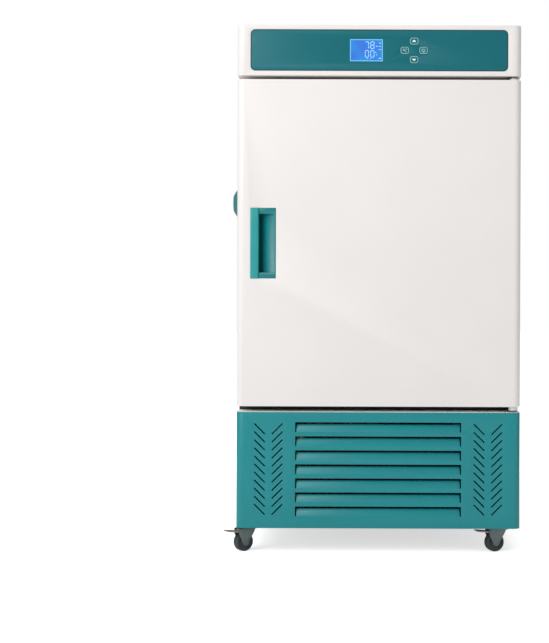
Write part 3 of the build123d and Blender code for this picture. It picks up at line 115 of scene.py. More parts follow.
class Surface:
    """A node material that is put together one texture at a time."""

    def __init__(self, name: str, colour: Colour, roughness: float, metallic: float = 0.0) -> None:
        """Start a material with one principled shader.

        Args:
            name: Name of the material.
            colour: Linear base colour.
            roughness: Base roughness.
            metallic: 1 for bare metal.
        """
        self.colour = colour
        self.roughness = roughness
        self.material = bpy.data.materials.new(name)
        self.material.use_nodes = True
        self.material.diffuse_color = (*colour, 1.0)
        self.tree = self.material.node_tree
        self.shader = self.tree.nodes["Principled BSDF"]
        self.shader.inputs["Base Color"].default_value = (*colour, 1.0)
        self.shader.inputs["Roughness"].default_value = roughness
        self.shader.inputs["Metallic"].default_value = metallic
        self.coordinates = self.tree.nodes.new("ShaderNodeTexCoord")
        self.last_normal = None

    def set(self, **values: float) -> "Surface":
        """Set sockets of the shader by name, with underscores for spaces.

        Args:
            values: Value of each socket.

        Returns:
            This surface.
        """
        for name, value in values.items():
            self.shader.inputs[name.replace("_", " ")].default_value = value
        return self

    def stretched(self, scale: Sequence[float]) -> bpy.types.NodeSocket:
        """Stretch the object's own coordinates.

        Args:
            scale: Factor along X, Y and Z.

        Returns:
            The socket with the new coordinates.
        """
        node = self.tree.nodes.new("ShaderNodeMapping")
        node.inputs["Scale"].default_value = scale
        self.tree.links.new(self.coordinates.outputs["Object"], node.inputs["Vector"])
        return node.outputs["Vector"]

    def noise(
        self, scale: float, detail: float = 3.0, rough: float = 0.5, stretch: Sequence[float] = (1, 1, 1)
    ) -> bpy.types.NodeSocket:
        """Make a noise texture on the object's coordinates.

        Args:
            scale: Noise cells per metre.
            detail: Number of octaves.
            rough: Weight of the finer octaves.
            stretch: Factor along X, Y and Z.

        Returns:
            The socket with the noise value, about 0 to 1.
        """
        node = self.tree.nodes.new("ShaderNodeTexNoise")
        node.inputs["Scale"].default_value = scale
        node.inputs["Detail"].default_value = detail
        node.inputs["Roughness"].default_value = rough
        self.tree.links.new(self.stretched(stretch), node.inputs["Vector"])
        return node.outputs["Fac"]

    def cells(self, scale: float) -> bpy.types.Node:
        """Make a cell texture.

        Args:
            scale: Cells per metre.

        Returns:
            The texture node, with Distance and Color outputs.
        """
        node = self.tree.nodes.new("ShaderNodeTexVoronoi")
        node.inputs["Scale"].default_value = scale
        self.tree.links.new(self.stretched((1, 1, 1)), node.inputs["Vector"])
        return node

    def spangle(self, scale: float) -> bpy.types.NodeSocket:
        """Make flat-shaded crystals.

        Args:
            scale: Crystals per metre.

        Returns:
            The socket with each crystal's grey value.
        """
        grey = self.tree.nodes.new("ShaderNodeSeparateColor")
        self.tree.links.new(self.cells(scale).outputs["Color"], grey.inputs["Color"])
        return grey.outputs["Red"]

    def span(
        self, factor: bpy.types.NodeSocket, start: Sequence[float], end: Sequence[float]
    ) -> bpy.types.NodeSocket:
        """Map one range of values onto another.

        Args:
            factor: Socket with the value.
            start: Low and high end of the values that come in.
            end: What the two ends become.

        Returns:
            The socket with the mapped value.
        """
        node = self.tree.nodes.new("ShaderNodeMapRange")
        for name, value in zip(("From Min", "From Max", "To Min", "To Max"), (*start, *end)):
            node.inputs[name].default_value = value
        self.tree.links.new(factor, node.inputs["Value"])
        return node.outputs["Result"]

    def paint(
        self, factor: bpy.types.NodeSocket, stops: Sequence[tuple[float, Colour]]
    ) -> bpy.types.NodeSocket:
        """Paint with a row of colours, blended by a value.

        Args:
            factor: Socket with the value.
            stops: Position and colour of each stop.

        Returns:
            The socket with the painted colour.
        """
        node = self.tree.nodes.new("ShaderNodeValToRGB")
        for element, (position, colour) in zip(node.color_ramp.elements, stops):
            element.position = position
            element.color = (*colour, 1.0)
        self.tree.links.new(factor, node.inputs["Fac"])
        self.tree.links.new(node.outputs["Color"], self.shader.inputs["Base Color"])
        return node.outputs["Color"]

    def shade(
        self, factor: bpy.types.NodeSocket, gains: tuple[float, float], places: Sequence[float] = NOISE_SPAN
    ) -> bpy.types.NodeSocket:
        """Paint in two brightnesses of the base colour.

        Args:
            factor: Socket with the value that blends them.
            gains: Brightness of the two.
            places: Value at which each is reached.

        Returns:
            The socket with the painted colour.
        """
        return self.paint(factor, [(place, varied(self.colour, gain)) for place, gain in zip(places, gains)])

    def polish(self, factor: bpy.types.NodeSocket, below: float, above: float) -> None:
        """Vary the roughness about its base value.

        Args:
            factor: Socket with the value that varies it.
            below: How far it falls under the base roughness.
            above: How far it rises over it.
        """
        varying = self.span(factor, NOISE_SPAN, (self.roughness - below, self.roughness + above))
        self.tree.links.new(varying, self.shader.inputs["Roughness"])

    def emboss(self, height: bpy.types.NodeSocket, depth: float) -> None:
        """Raise the surface by a height socket.

        Args:
            height: Socket with the height, 0 to 1.
            depth: Height in metres of a value of 1.
        """
        node = self.tree.nodes.new("ShaderNodeBump")
        node.inputs["Distance"].default_value = depth
        node.inputs["Strength"].default_value = 1.0
        self.tree.links.new(height, node.inputs["Height"])
        if self.last_normal:
            self.tree.links.new(self.last_normal, node.inputs["Normal"])
        self.last_normal = node.outputs["Normal"]
        self.tree.links.new(self.last_normal, self.shader.inputs["Normal"])


@dataclass(frozen=True)
class PowderCoat:
    """Baked powder paint with a fine orange-peel skin."""

    name: str
    colour: Colour
    roughness: float = 0.42
    mottle: float = 0.015
    mottle_scale: float = 6.0
    sheen_scale: float = 45.0
    peel: float = 0.00004
    peel_scale: float = 900.0
    wave_scale: float = 260.0
    wave_share: float = 1.5

    def material(self) -> bpy.types.Material:
        """Build the paint's material.

        Returns:
            The material.
        """
        surface = Surface(self.name, self.colour, self.roughness)
        surface.shade(surface.noise(self.mottle_scale, 4.0), (1 - self.mottle, 1 + self.mottle))
        surface.polish(surface.noise(self.sheen_scale, 5.0), 0.04, 0.05)
        surface.emboss(surface.noise(self.peel_scale, 2.0), self.peel)
        surface.emboss(surface.noise(self.wave_scale, 2.0), self.peel * self.wave_share)
        return surface.material


@dataclass(frozen=True)
class Film:
    """Printed polyester film with a faint silk texture."""

    name: str
    colour: Colour
    roughness: float = 0.45
    tone_scale: float = 9.0
    sheen_scale: float = 70.0
    silk_scale: float = 2600.0
    silk: float = 0.00001
    gloss: float = 0.3

    def material(self) -> bpy.types.Material:
        """Build the film's material.

        Returns:
            The material.
        """
        surface = Surface(self.name, self.colour, self.roughness)
        surface.shade(surface.noise(self.tone_scale, 5.0), (0.97, 1.03))
        surface.polish(surface.noise(self.sheen_scale, 4.0), 0.03, 0.05)
        surface.emboss(surface.cells(self.silk_scale).outputs["Distance"], self.silk)
        return surface.set(Specular_IOR_Level=self.gloss).material


@dataclass(frozen=True)
class Moulded:
    """Injection-moulded plastic with a spark-eroded grain."""

    name: str
    colour: Colour
    roughness: float = 0.45
    tone_scale: float = 30.0
    sheen_scale: float = 120.0
    grain_scale: float = 3000.0
    grain: float = 0.00002

    def material(self) -> bpy.types.Material:
        """Build the plastic's material.

        Returns:
            The material.
        """
        surface = Surface(self.name, self.colour, self.roughness)
        surface.shade(surface.noise(self.tone_scale, 4.0), (0.95, 1.05))
        surface.polish(surface.noise(self.sheen_scale, 3.0), 0.05, 0.06)
        surface.emboss(surface.noise(self.grain_scale, 2.0), self.grain)
        return surface.material


@dataclass(frozen=True)
class BrushedSteel:
    """Stainless sheet with a grain along one direction."""

    name: str
    colour: Colour
    stretch: tuple[float, float, float] = (1.0, 1.0, 60.0)
    roughness: float = 0.3
    streak_scale: float = 25.0
    scratch_scale: float = 60.0
    scratch: float = 0.00002
    fineness: float = 0.7

    def material(self) -> bpy.types.Material:
        """Build the steel's material.

        Returns:
            The material.
        """
        surface = Surface(self.name, self.colour, self.roughness, 1.0)
        streaks = surface.noise(self.streak_scale, 6.0, self.fineness, self.stretch)
        surface.shade(streaks, (0.9, 1.08))
        surface.polish(streaks, 0.06, 0.1)
        surface.emboss(surface.noise(self.scratch_scale, 5.0, self.fineness, self.stretch), self.scratch)
        return surface.material


@dataclass(frozen=True)
class Galvanised:
    """Zinc-dipped sheet with a crystal spangle."""

    name: str
    colour: Colour
    roughness: float = 0.42
    crystal_scale: float = 120.0
    ripple_scale: float = 300.0
    ripple: float = 0.00002

    def material(self) -> bpy.types.Material:
        """Build the zinc's material.

        Returns:
            The material.
        """
        surface = Surface(self.name, self.colour, self.roughness, 1.0)
        crystals = surface.spangle(self.crystal_scale)
        surface.shade(crystals, (0.82, 1.12), (0.0, 1.0))
        surface.polish(crystals, 0.05, 0.08)
        surface.emboss(surface.noise(self.ripple_scale, 4.0), self.ripple)
        return surface.material


@dataclass(frozen=True)
class PlatedMetal:
    """Drawn or plated metal with fine scratches."""

    name: str
    colour: Colour
    roughness: float = 0.28
    wear_scale: float = 220.0
    scratch_scale: float = 900.0
    scratch: float = 0.00001

    def material(self) -> bpy.types.Material:
        """Build the metal's material.

        Returns:
            The material.
        """
        surface = Surface(self.name, self.colour, self.roughness, 1.0)
        wear = surface.noise(self.wear_scale, 6.0, 0.65)
        surface.shade(wear, (0.85, 1.1))
        surface.polish(wear, 0.06, 0.14)
        surface.emboss(surface.noise(self.scratch_scale, 3.0), self.scratch)
        return surface.material


@dataclass(frozen=True)
class Rubber:
    """Matte rubber with a dusty bloom."""

    name: str
    colour: Colour
    roughness: float = 0.75
    dust_scale: float = 90.0
    grain_scale: float = 1500.0
    grain: float = 0.00003

    def material(self) -> bpy.types.Material:
        """Build the rubber's material.

        Returns:
            The material.
        """
        surface = Surface(self.name, self.colour, self.roughness)
        dust = surface.noise(self.dust_scale, 6.0, 0.6)
        surface.shade(dust, (0.9, 1.35), (0.35, 0.75))
        surface.polish(dust, 0.08, 0.08)
        surface.emboss(surface.noise(self.grain_scale, 3.0), self.grain)
        return surface.material


@dataclass(frozen=True)
class CellFoam:
    """Closed-cell foam as it sets in a mould."""

    name: str
    colour: Colour
    roughness: float = 0.9
    pore_scale: float = 700.0
    pore: float = 0.0003

    def material(self) -> bpy.types.Material:
        """Build the foam's material.

        Returns:
            The material.
        """
        surface = Surface(self.name, self.colour, self.roughness)
        pores = surface.cells(self.pore_scale).outputs["Distance"]
        surface.shade(pores, (0.8, 1.0), (0.0, 0.6))
        surface.emboss(pores, self.pore)
        return surface.material


@dataclass(frozen=True)
class LitScreen:
    """Back-lit display with a slightly uneven glow."""

    name: str
    colour: Colour
    corner: Colour
    glow: float
    roughness: float = 0.2
    glow_scale: float = 26.0
    grain_scale: float = 500.0
    grain: float = 0.000005

    def material(self) -> bpy.types.Material:
        """Build the screen's material.

        Returns:
            The material.
        """
        surface = Surface(self.name, self.colour, self.roughness)
        lit = surface.paint(surface.noise(self.glow_scale, 1.0), [(0.35, self.corner), (0.65, self.colour)])
        surface.tree.links.new(lit, surface.shader.inputs["Emission Color"])
        surface.set(Emission_Strength=self.glow, Coat_Weight=0.4, Coat_Roughness=0.05)
        surface.emboss(surface.noise(self.grain_scale, 1.0), self.grain)
        return surface.material


@dataclass(frozen=True)
class Ink:
    """Screen-printed ink with a slightly uneven tone."""

    name: str
    colour: Colour
    glow: float = 0.0
    roughness: float = 0.5
    tone_scale: float = 800.0

    def material(self) -> bpy.types.Material:
        """Build the ink's material.

        Returns:
            The material.
        """
        surface = Surface(self.name, self.colour, self.roughness)
        tone = surface.shade(surface.noise(self.tone_scale, 2.0), (0.92, 1.05))
        if self.glow:
            surface.tree.links.new(tone, surface.shader.inputs["Emission Color"])
            surface.set(Emission_Strength=self.glow)
        return surface.material


MERGE_DISTANCE = 0.002
FLAT_DEGREES = 0.5
RING_CORNER_FACES = 6
FACING_SHARE = 0.9
UPRIGHT_SHARE = 0.5
WHITE_PAINT = linear(238, 234, 232)
HEADER_TEAL = linear(8, 106, 116)
BASE_TEAL = linear(12, 136, 142)

FINISHES = {
    "cabinet_white": PowderCoat("cabinet_white", WHITE_PAINT),
    "door_white": PowderCoat("door_white", WHITE_PAINT, 0.38),
    "base_teal": PowderCoat("base_teal", BASE_TEAL, 0.4, mottle=0.03),
    "panel_teal": Film("panel_teal", HEADER_TEAL),
    # Near-white deck top, lightened as painted reflection for the grazing light under the door.
    "deck_grey": PowderCoat("deck_grey", linear(240, 241, 240), 0.55),
    "galvanised": Galvanised("galvanised", (0.56, 0.58, 0.6)),
    "stainless": BrushedSteel("stainless", (0.6, 0.61, 0.62)),
    "frame_white": Moulded("frame_white", linear(232, 230, 226), 0.5),
    "foam": CellFoam("foam", linear(236, 220, 165)),
    "seal_grey": Rubber("seal_grey", linear(140, 143, 145)),
    "handle_teal": Moulded("handle_teal", linear(38, 156, 156), 0.35),
    # The cup's teal is darker than the grip's as painted shade for the recess.
    "cup_teal": Moulded("cup_teal", linear(6, 123, 127), 0.4),
    "cap_teal": Moulded("cap_teal", linear(40, 118, 122), 0.42),
    "port_white": Moulded("port_white", linear(228, 228, 225), 0.45),
    "key_teal": Moulded("key_teal", HEADER_TEAL, 0.4),
    "board_green": Moulded("board_green", (0.02, 0.14, 0.05), 0.35),
    "black_plastic": Moulded("black_plastic", (0.012, 0.012, 0.014), 0.4),
    "black_steel": PowderCoat("black_steel", (0.014, 0.014, 0.016), 0.3),
    "bare_aluminium": BrushedSteel("bare_aluminium", (0.66, 0.67, 0.68), (1.0, 60.0, 1.0), 0.35),
    "copper": PlatedMetal("copper", (0.75, 0.34, 0.2), 0.25),
    "zinc": PlatedMetal("zinc", (0.17, 0.2, 0.2), 0.34),
    "pedal_metal": PlatedMetal("pedal_metal", (0.42, 0.39, 0.35), 0.35),
    "wheel_dark": Rubber("wheel_dark", linear(52, 62, 66), 0.6),
    "hinge_nylon": Moulded("hinge_nylon", linear(225, 225, 220), 0.5),
    "window_blue": LitScreen("window_blue", linear(34, 128, 204), linear(48, 106, 198), 0.38),
}


class Stock:
    """The finished materials, made once and shared by every piece."""

    def __init__(self) -> None:
        """Build one material per slot of the record, and the printing inks, one of them dark as painted
        shade.
        """
        self.slots = {name: finish.material() for name, finish in FINISHES.items()}
        self.inks = {
            ink.name: ink.material()
            for ink in (
                # The white ink's glow is painted light: the printed key arrows glow though nothing lights
                # them.
                Ink("ink_white_painted_glow", linear(232, 246, 246), 0.25),
                Ink("ink_pale", linear(160, 208, 212)),
                Ink("ink_digit", linear(160, 212, 255), 0.3),
                Ink("ink_border", linear(112, 190, 232), 0.25),
                # The dark ink is painted shade for the gap round the control film.
                Ink("painted_edge_shade", linear(20, 60, 64)),
            )
        }
        self.slot_of = {part["node"]: part["material_slot"] for part in frame["record"]["subparts"]}

    def dress(self, piece: bpy.types.Object, slot: str) -> bpy.types.Object:
        """Give a piece one material and name its slot.

        Args:
            piece: The piece to dress.
            slot: Material slot of the record, or the name of an ink.

        Returns:
            The same piece.
        """
        piece.data.materials.clear()
        piece.data.materials.append(self.slots.get(slot) or self.inks[slot])
        return piece

    def dress_node(self, node: str) -> bpy.types.Object:
        """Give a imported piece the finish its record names.

        Args:
            node: Name of the piece.

        Returns:
            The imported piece.
        """
        return self.dress(frame["nodes"][node], self.slot_of[node])


def shade_by_angle(mesh: bpy.types.Mesh, degrees: float = 35.0) -> None:
    """Shade smoothly, except over edges sharper than an angle.

    Args:
        mesh: The mesh to shade.
        degrees: Largest angle between faces that still looks smooth.
    """
    mesh.shade_smooth()
    mesh.set_sharp_from_angle(angle=math.radians(degrees))


def round_edges(
    bm: bmesh.types.BMesh,
    edges: Iterable[bmesh.types.BMEdge],
    width: float,
    segments: int = 2,
    clamp: bool = False,
) -> None:
    """Round some edges of a mesh.

    Args:
        bm: The mesh.
        edges: The edges to round.
        width: Width of the rounding, in metres.
        segments: Faces across the rounding.
        clamp: Whether roundings stop where they would meet.
    """
    bmesh.ops.bevel(
        bm,
        geom=list(edges),
        offset=width,
        offset_type="OFFSET",
        segments=segments,
        profile=0.5,
        affect="EDGES",
        clamp_overlap=clamp,
        material=-1,
    )


class Workbench:
    """Makes a mesh from operators and hands it over as a piece of one body."""

    def __init__(self, name: str) -> None:
        """Start an empty mesh.

        Args:
            name: Name of the piece.
        """
        self.name = name
        self.bm = bmesh.new()

    def block(self, low: Sequence[float], high: Sequence[float]) -> list[bmesh.types.BMVert]:
        """Add a box between two corners.

        Args:
            low: Lowest corner, in metres.
            high: Highest corner, in metres.

        Returns:
            The box's vertices.
        """
        size = [b - a for a, b in zip(low, high)]
        middle = [(a + b) / 2 for a, b in zip(low, high)]
        place = Matrix.Translation(middle) @ Matrix.Diagonal((*size, 1.0))
        return bmesh.ops.create_cube(self.bm, size=1.0, matrix=place)["verts"]

    def strip(self, low: Sequence[float], high: Sequence[float], rounding: float) -> None:
        """Add a box with every edge rounded, as the bench's only form.

        Args:
            low: Lowest corner, in metres.
            high: Highest corner, in metres.
            rounding: Width of the rounding, in metres.
        """
        self.block(low, high)
        round_edges(self.bm, self.bm.edges, rounding)

    def cone(
        self, place: Matrix, radius: float, top_radius: float, depth: float, sides: int
    ) -> list[bmesh.types.BMVert]:
        """Add a closed cone with a cut-off top.

        Args:
            place: Place of its middle, with its axis along the matrix's Z.
            radius: Radius at the low end, in metres.
            top_radius: Radius at the high end, in metres.
            depth: Length along the axis, in metres.
            sides: Number of sides.

        Returns:
            The new vertices.
        """
        return bmesh.ops.create_cone(
            self.bm,
            cap_ends=True,
            cap_tris=False,
            segments=sides,
            radius1=radius,
            radius2=top_radius,
            depth=depth,
            matrix=place,
        )["verts"]

    def soften(self, width: float, degrees: float = 40.0) -> None:
        """Round every edge sharper than an angle.

        Args:
            width: Width of the rounding, in metres.
            degrees: Smallest angle that is rounded.
        """
        bmesh.ops.recalc_face_normals(self.bm, faces=self.bm.faces)
        least = math.radians(degrees)
        edges = [e for e in self.bm.edges if len(e.link_faces) == 2 and e.calc_face_angle(0.0) > least]
        round_edges(self.bm, edges, width, clamp=True)

    def piece(self, body: str) -> bpy.types.Object:
        """Finish the mesh and let it ride on a body.

        Args:
            body: Name of the body that carries it.

        Returns:
            The new object.
        """
        bmesh.ops.recalc_face_normals(self.bm, faces=self.bm.faces)
        mesh = bpy.data.meshes.new(self.name)
        self.bm.to_mesh(mesh)
        self.bm.free()
        shade_by_angle(mesh)
        made = bpy.data.objects.new(self.name, mesh)
        bpy.context.scene.collection.objects.link(made)
        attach(made, body)
        log.info("%s: %d faces on %s", self.name, len(mesh.polygons), body)
        return made


def printed_ring(
    bench: Workbench, size: Sequence[float], radius: float, stroke: float, thick: float
) -> None:
    """Add a flat rounded ring round the origin, facing the front.

    Args:
        bench: The mesh it is added to.
        size: Outer width and height in millimetres.
        radius: Outer corner radius in millimetres, 0 for square corners.
        stroke: Width of the line in millimetres.
        thick: Thickness in millimetres.
    """
    half_x, half_z = size[0] / 2 * MM, size[1] / 2 * MM
    t = thick * MM
    known = set(bench.bm.faces)
    verts = set(bench.block((-half_x, 0, -half_z), (half_x, t, half_z)))
    if radius:
        edges = [e for e in bench.bm.edges if e.verts[0] in verts]
        across = [e for e in edges if abs(e.verts[0].co.y - e.verts[1].co.y) > t / 2]
        round_edges(bench.bm, across, radius * MM, RING_CORNER_FACES)
    fresh = [f for f in bench.bm.faces if f not in known]
    bmesh.ops.recalc_face_normals(bench.bm, faces=fresh)
    flats = [f for f in fresh if abs(f.normal.y) > FACING_SHARE]
    bmesh.ops.inset_individual(bench.bm, faces=flats, thickness=stroke * MM, use_even_offset=True)
    bmesh.ops.bridge_loops(bench.bm, edges=[e for f in flats for e in f.edges])
    bmesh.ops.delete(bench.bm, geom=flats, context="FACES_ONLY")


def spaced(low: float, high: float, count: int) -> list[float]:
    """Give evenly spaced values.

    Args:
        low: First value.
        high: Last value.
        count: How many, at least two.

    Returns:
        The values from low to high.
    """
    return [low + (high - low) * i / (count - 1) for i in range(count)]


@dataclass(frozen=True)
class PanScrew:
    """Pan-head screw with a cross recess, in millimetres."""

    radius: float = 3.6
    height: float = 1.7
    sides: int = 24
    crown_share: float = 0.76
    rim_share: float = 0.2
    arm_share: float = 0.42
    recess_share: float = 0.6
    notch: tuple[int, ...] = (2, 3, 4)

    def add(self, bench: Workbench, seat: Matrix) -> None:
        """Add the head, standing on a face.

        Args:
            bench: The mesh it is added to.
            seat: Middle of its seat, with its axis along the matrix's Z, in metres.
        """
        radius, height = self.radius * MM, self.height * MM
        place = seat @ Matrix.Translation((0, 0, height / 2))
        head = bench.cone(place, radius, radius * self.crown_share, height, self.sides)
        outward = seat.to_3x3() @ Vector((0, 0, 1))
        caps = [f for f in {f for v in head for f in v.link_faces} if len(f.verts) == self.sides]
        top = max(caps, key=lambda f: f.calc_center_median().dot(outward))
        rim = radius * self.rim_share
        bmesh.ops.inset_individual(bench.bm, faces=[top], thickness=rim, use_even_offset=True)
        middle = top.calc_center_median()
        for i, vert in enumerate(top.verts):
            if i % (self.sides // 4) in self.notch:
                vert.co = middle + (vert.co - middle) * self.arm_share
        bmesh.ops.translate(bench.bm, verts=top.verts, vec=outward * (-self.recess_share * height))


def mesh_bounds(node: str) -> tuple[Vector, Vector]:
    """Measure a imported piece.

    Args:
        node: Name of the piece.

    Returns:
        Its lowest and highest corner, in metres.
    """
    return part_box(node)


def softened(stock: Stock, node: str, width_mm: float) -> bpy.types.Object:
    """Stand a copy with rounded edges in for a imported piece.

    Args:
        stock: The finished materials.
        node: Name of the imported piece.
        width_mm: Width of the rounding, in millimetres.

    Returns:
        The new piece, dressed in the node's own finish.
    """
    source = frame["nodes"][node]
    bench = Workbench(f"{node}_soft")
    bench.bm.from_mesh(source.data)
    bmesh.ops.remove_doubles(bench.bm, verts=bench.bm.verts, dist=MERGE_DISTANCE * MM)
    bmesh.ops.dissolve_limit(
        bench.bm,
        angle_limit=math.radians(FLAT_DEGREES),
        use_dissolve_boundaries=False,
        verts=bench.bm.verts,
        edges=bench.bm.edges,
    )
    bench.soften(width_mm * MM)
    made = bench.piece(source["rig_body"])
    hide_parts(node)
    return stock.dress(made, stock.slot_of[node])


def facing(direction: Sequence[float], place: Sequence[float]) -> Matrix:
    """Turn a matrix's Z axis to a direction.

    Args:
        direction: Where Z points.
        place: Where the matrix stands, in millimetres.

    Returns:
        The matrix, in metres.
    """
    turn = Vector((0, 0, 1)).rotation_difference(Vector(direction).normalized())
    return Matrix.Translation(Vector(place) * MM) @ turn.to_matrix().to_4x4()


@dataclass
class PrintedPanel:
    """The display's image and the marks printed on the four keys, in millimetres."""

    segment_long: float = 5.6
    segment_wide: float = 1.5
    digit_pitch: float = 11.5
    digits_x: float = 1.2
    rows: tuple[tuple[str, float], ...] = (("78", 10.6), ("00", -7.6))
    border_size: tuple[float, float] = (69.0, 46.5)
    border: float = 1.7
    print_t: float = 0.06
    key_size: tuple[float, float] = (17.4, 14.4)
    key_corner: float = 4.7
    key_stroke: float = 1.1
    light_size: tuple[float, float] = (7.4, 6.6)
    light_corner: float = 3.0
    light_stroke: float = 1.2
    marks: tuple[tuple[float, float, float, float], ...] = (
        (22.0, 8.5, 3.6, 1.6),
        (29.0, 15.0, 4.4, 1.4),
        (28.5, 8.0, 5.0, 1.2),
        (29.0, 1.5, 5.6, 1.2),
        (20.0, -4.5, 2.4, 1.4),
        (21.5, -9.5, 2.4, 1.4),
        (28.5, -17.0, 5.0, 1.6),
        (2.0, -18.0, 3.2, 1.0),
        (9.0, -18.0, 3.2, 1.0),
    )
    lit: dict[str, str] = field(default_factory=lambda: {"0": "abcdef", "7": "abc", "8": "abcdefg"})
    keys: dict[str, Glyph] = field(
        default_factory=lambda: {
            "key_up": Glyph.UP,
            "key_down": Glyph.DOWN,
            "key_set": Glyph.SET,
            "key_light": Glyph.LIGHT,
        }
    )
    glyph_bars: dict[Glyph, tuple[tuple[float, ...], ...]] = field(
        default_factory=lambda: {
            Glyph.UP: ((-1.25, 0.0, 4.6, 2.3, -45.0), (1.25, 0.0, 4.6, 2.3, 45.0)),
            Glyph.DOWN: ((-1.25, 0.0, 4.6, 2.3, 45.0), (1.25, 0.0, 4.6, 2.3, -45.0)),
            Glyph.SET: ((0.0, 0.0, 8.4, 1.4, 50.0), (-3.4, 0.6, 1.8, 1.8, 45.0), (3.2, 2.6, 1.5, 3.2, -30.0)),
            Glyph.LIGHT: ((0.4, -4.0, 2.6, 1.3),),
        }
    )

    def build(self, stock: Stock) -> list[bpy.types.Object]:
        """Print the screen and the keys.

        Args:
            stock: The finished materials.

        Returns:
            The new pieces.
        """
        made = [self.digits(stock), self.frame_line(stock), self.small_marks(stock)]
        for node, glyph in self.keys.items():
            made.append(self.key_outline(stock, node))
            made.append(self.key_glyph(stock, node, glyph))
        return made

    def place_on(self, node: str) -> Vector:
        """Find where printing lies on a piece.

        Args:
            node: The piece that is printed on.

        Returns:
            The middle of its front, one print's thickness forward, in metres.
        """
        low, high = mesh_bounds(node)
        return Vector(((low.x + high.x) / 2, low.y - self.print_t * MM, (low.z + high.z) / 2))

    def printed(self, stock: Stock, bench: Workbench, node: str, body: str, ink: str) -> bpy.types.Object:
        """Move a print from the origin to its piece and ink it.

        Args:
            stock: The finished materials.
            bench: The mesh of the print.
            node: The piece that is printed on.
            body: The body that carries it.
            ink: Name of the ink.

        Returns:
            The print.
        """
        bmesh.ops.translate(bench.bm, verts=bench.bm.verts, vec=self.place_on(node))
        return stock.dress(bench.piece(body), ink)

    def bar(self, bench: Workbench, x: float, z: float, wide: float, tall: float, turn: float = 0.0) -> None:
        """Print one straight bar near the origin, in millimetres.

        Args:
            bench: The mesh it is added to.
            x: Middle, to the right.
            z: Middle, upwards.
            wide: Width.
            tall: Height.
            turn: Turn in degrees.
        """
        half_x, half_z = wide / 2 * MM, tall / 2 * MM
        verts = bench.block((-half_x, 0, -half_z), (half_x, self.print_t * MM, half_z))
        tilt = Matrix.Rotation(math.radians(turn), 3, "Y")
        bmesh.ops.rotate(bench.bm, verts=verts, cent=(0, 0, 0), matrix=tilt)
        bmesh.ops.translate(bench.bm, verts=verts, vec=(x * MM, 0, z * MM))

    def digits(self, stock: Stock) -> bpy.types.Object:
        """Light the numbers, one bar per segment.

        Args:
            stock: The finished materials.

        Returns:
            The lit segments.
        """
        bench = Workbench("screen_digits")
        reach = self.segment_long / 2 + self.segment_wide / 2
        flat = (self.segment_long, self.segment_wide)
        upright = (self.segment_wide, self.segment_long)
        places = {
            "a": (0, 2 * reach, flat),
            "b": (reach, reach, upright),
            "c": (reach, -reach, upright),
            "d": (0, -2 * reach, flat),
            "e": (-reach, -reach, upright),
            "f": (-reach, reach, upright),
            "g": (0, 0, flat),
        }
        for text, row_z in self.rows:
            for i, digit in enumerate(text):
                at_x = self.digits_x + i * self.digit_pitch
                for name in self.lit[digit]:
                    dx, dz, size = places[name]
                    self.bar(bench, at_x + dx, row_z + dz, *size)
        return self.printed(stock, bench, "display_window", "cabinet", "ink_digit")

    def small_marks(self, stock: Stock) -> bpy.types.Object:
        """Light the small state marks beside the numbers.

        Args:
            stock: The finished materials.

        Returns:
            The lit marks.
        """
        bench = Workbench("screen_marks")
        for mark in self.marks:
            self.bar(bench, *mark)
        return self.printed(stock, bench, "display_window", "cabinet", "ink_digit")

    def frame_line(self, stock: Stock) -> bpy.types.Object:
        """Light the line round the screen.

        Args:
            stock: The finished materials.

        Returns:
            The lit line.
        """
        bench = Workbench("screen_border")
        printed_ring(bench, self.border_size, 0.0, self.border, self.print_t)
        return self.printed(stock, bench, "display_window", "cabinet", "ink_border")

    def key_outline(self, stock: Stock, node: str) -> bpy.types.Object:
        """Print the line round one key.

        Args:
            stock: The finished materials.
            node: The key's name, which is its body's too.

        Returns:
            The printed line.
        """
        bench = Workbench(f"{node}_outline")
        printed_ring(bench, self.key_size, self.key_corner, self.key_stroke, self.print_t)
        return self.printed(stock, bench, node, node, "ink_pale")

    def key_glyph(self, stock: Stock, node: str, glyph: Glyph) -> bpy.types.Object:
        """Print the mark of one key.

        Args:
            stock: The finished materials.
            node: The key's name, which is its body's too.
            glyph: The mark.

        Returns:
            The printed mark.
        """
        bench = Workbench(f"{node}_mark")
        if glyph is Glyph.LIGHT:
            printed_ring(bench, self.light_size, self.light_corner, self.light_stroke, self.print_t)
        for bar in self.glyph_bars[glyph]:
            self.bar(bench, *bar)
        # The white ink on the arrows is real print with a painted glow.
        ink = "ink_white_painted_glow" if glyph in (Glyph.UP, Glyph.DOWN) else "ink_pale"
        return self.printed(stock, bench, node, node, ink)


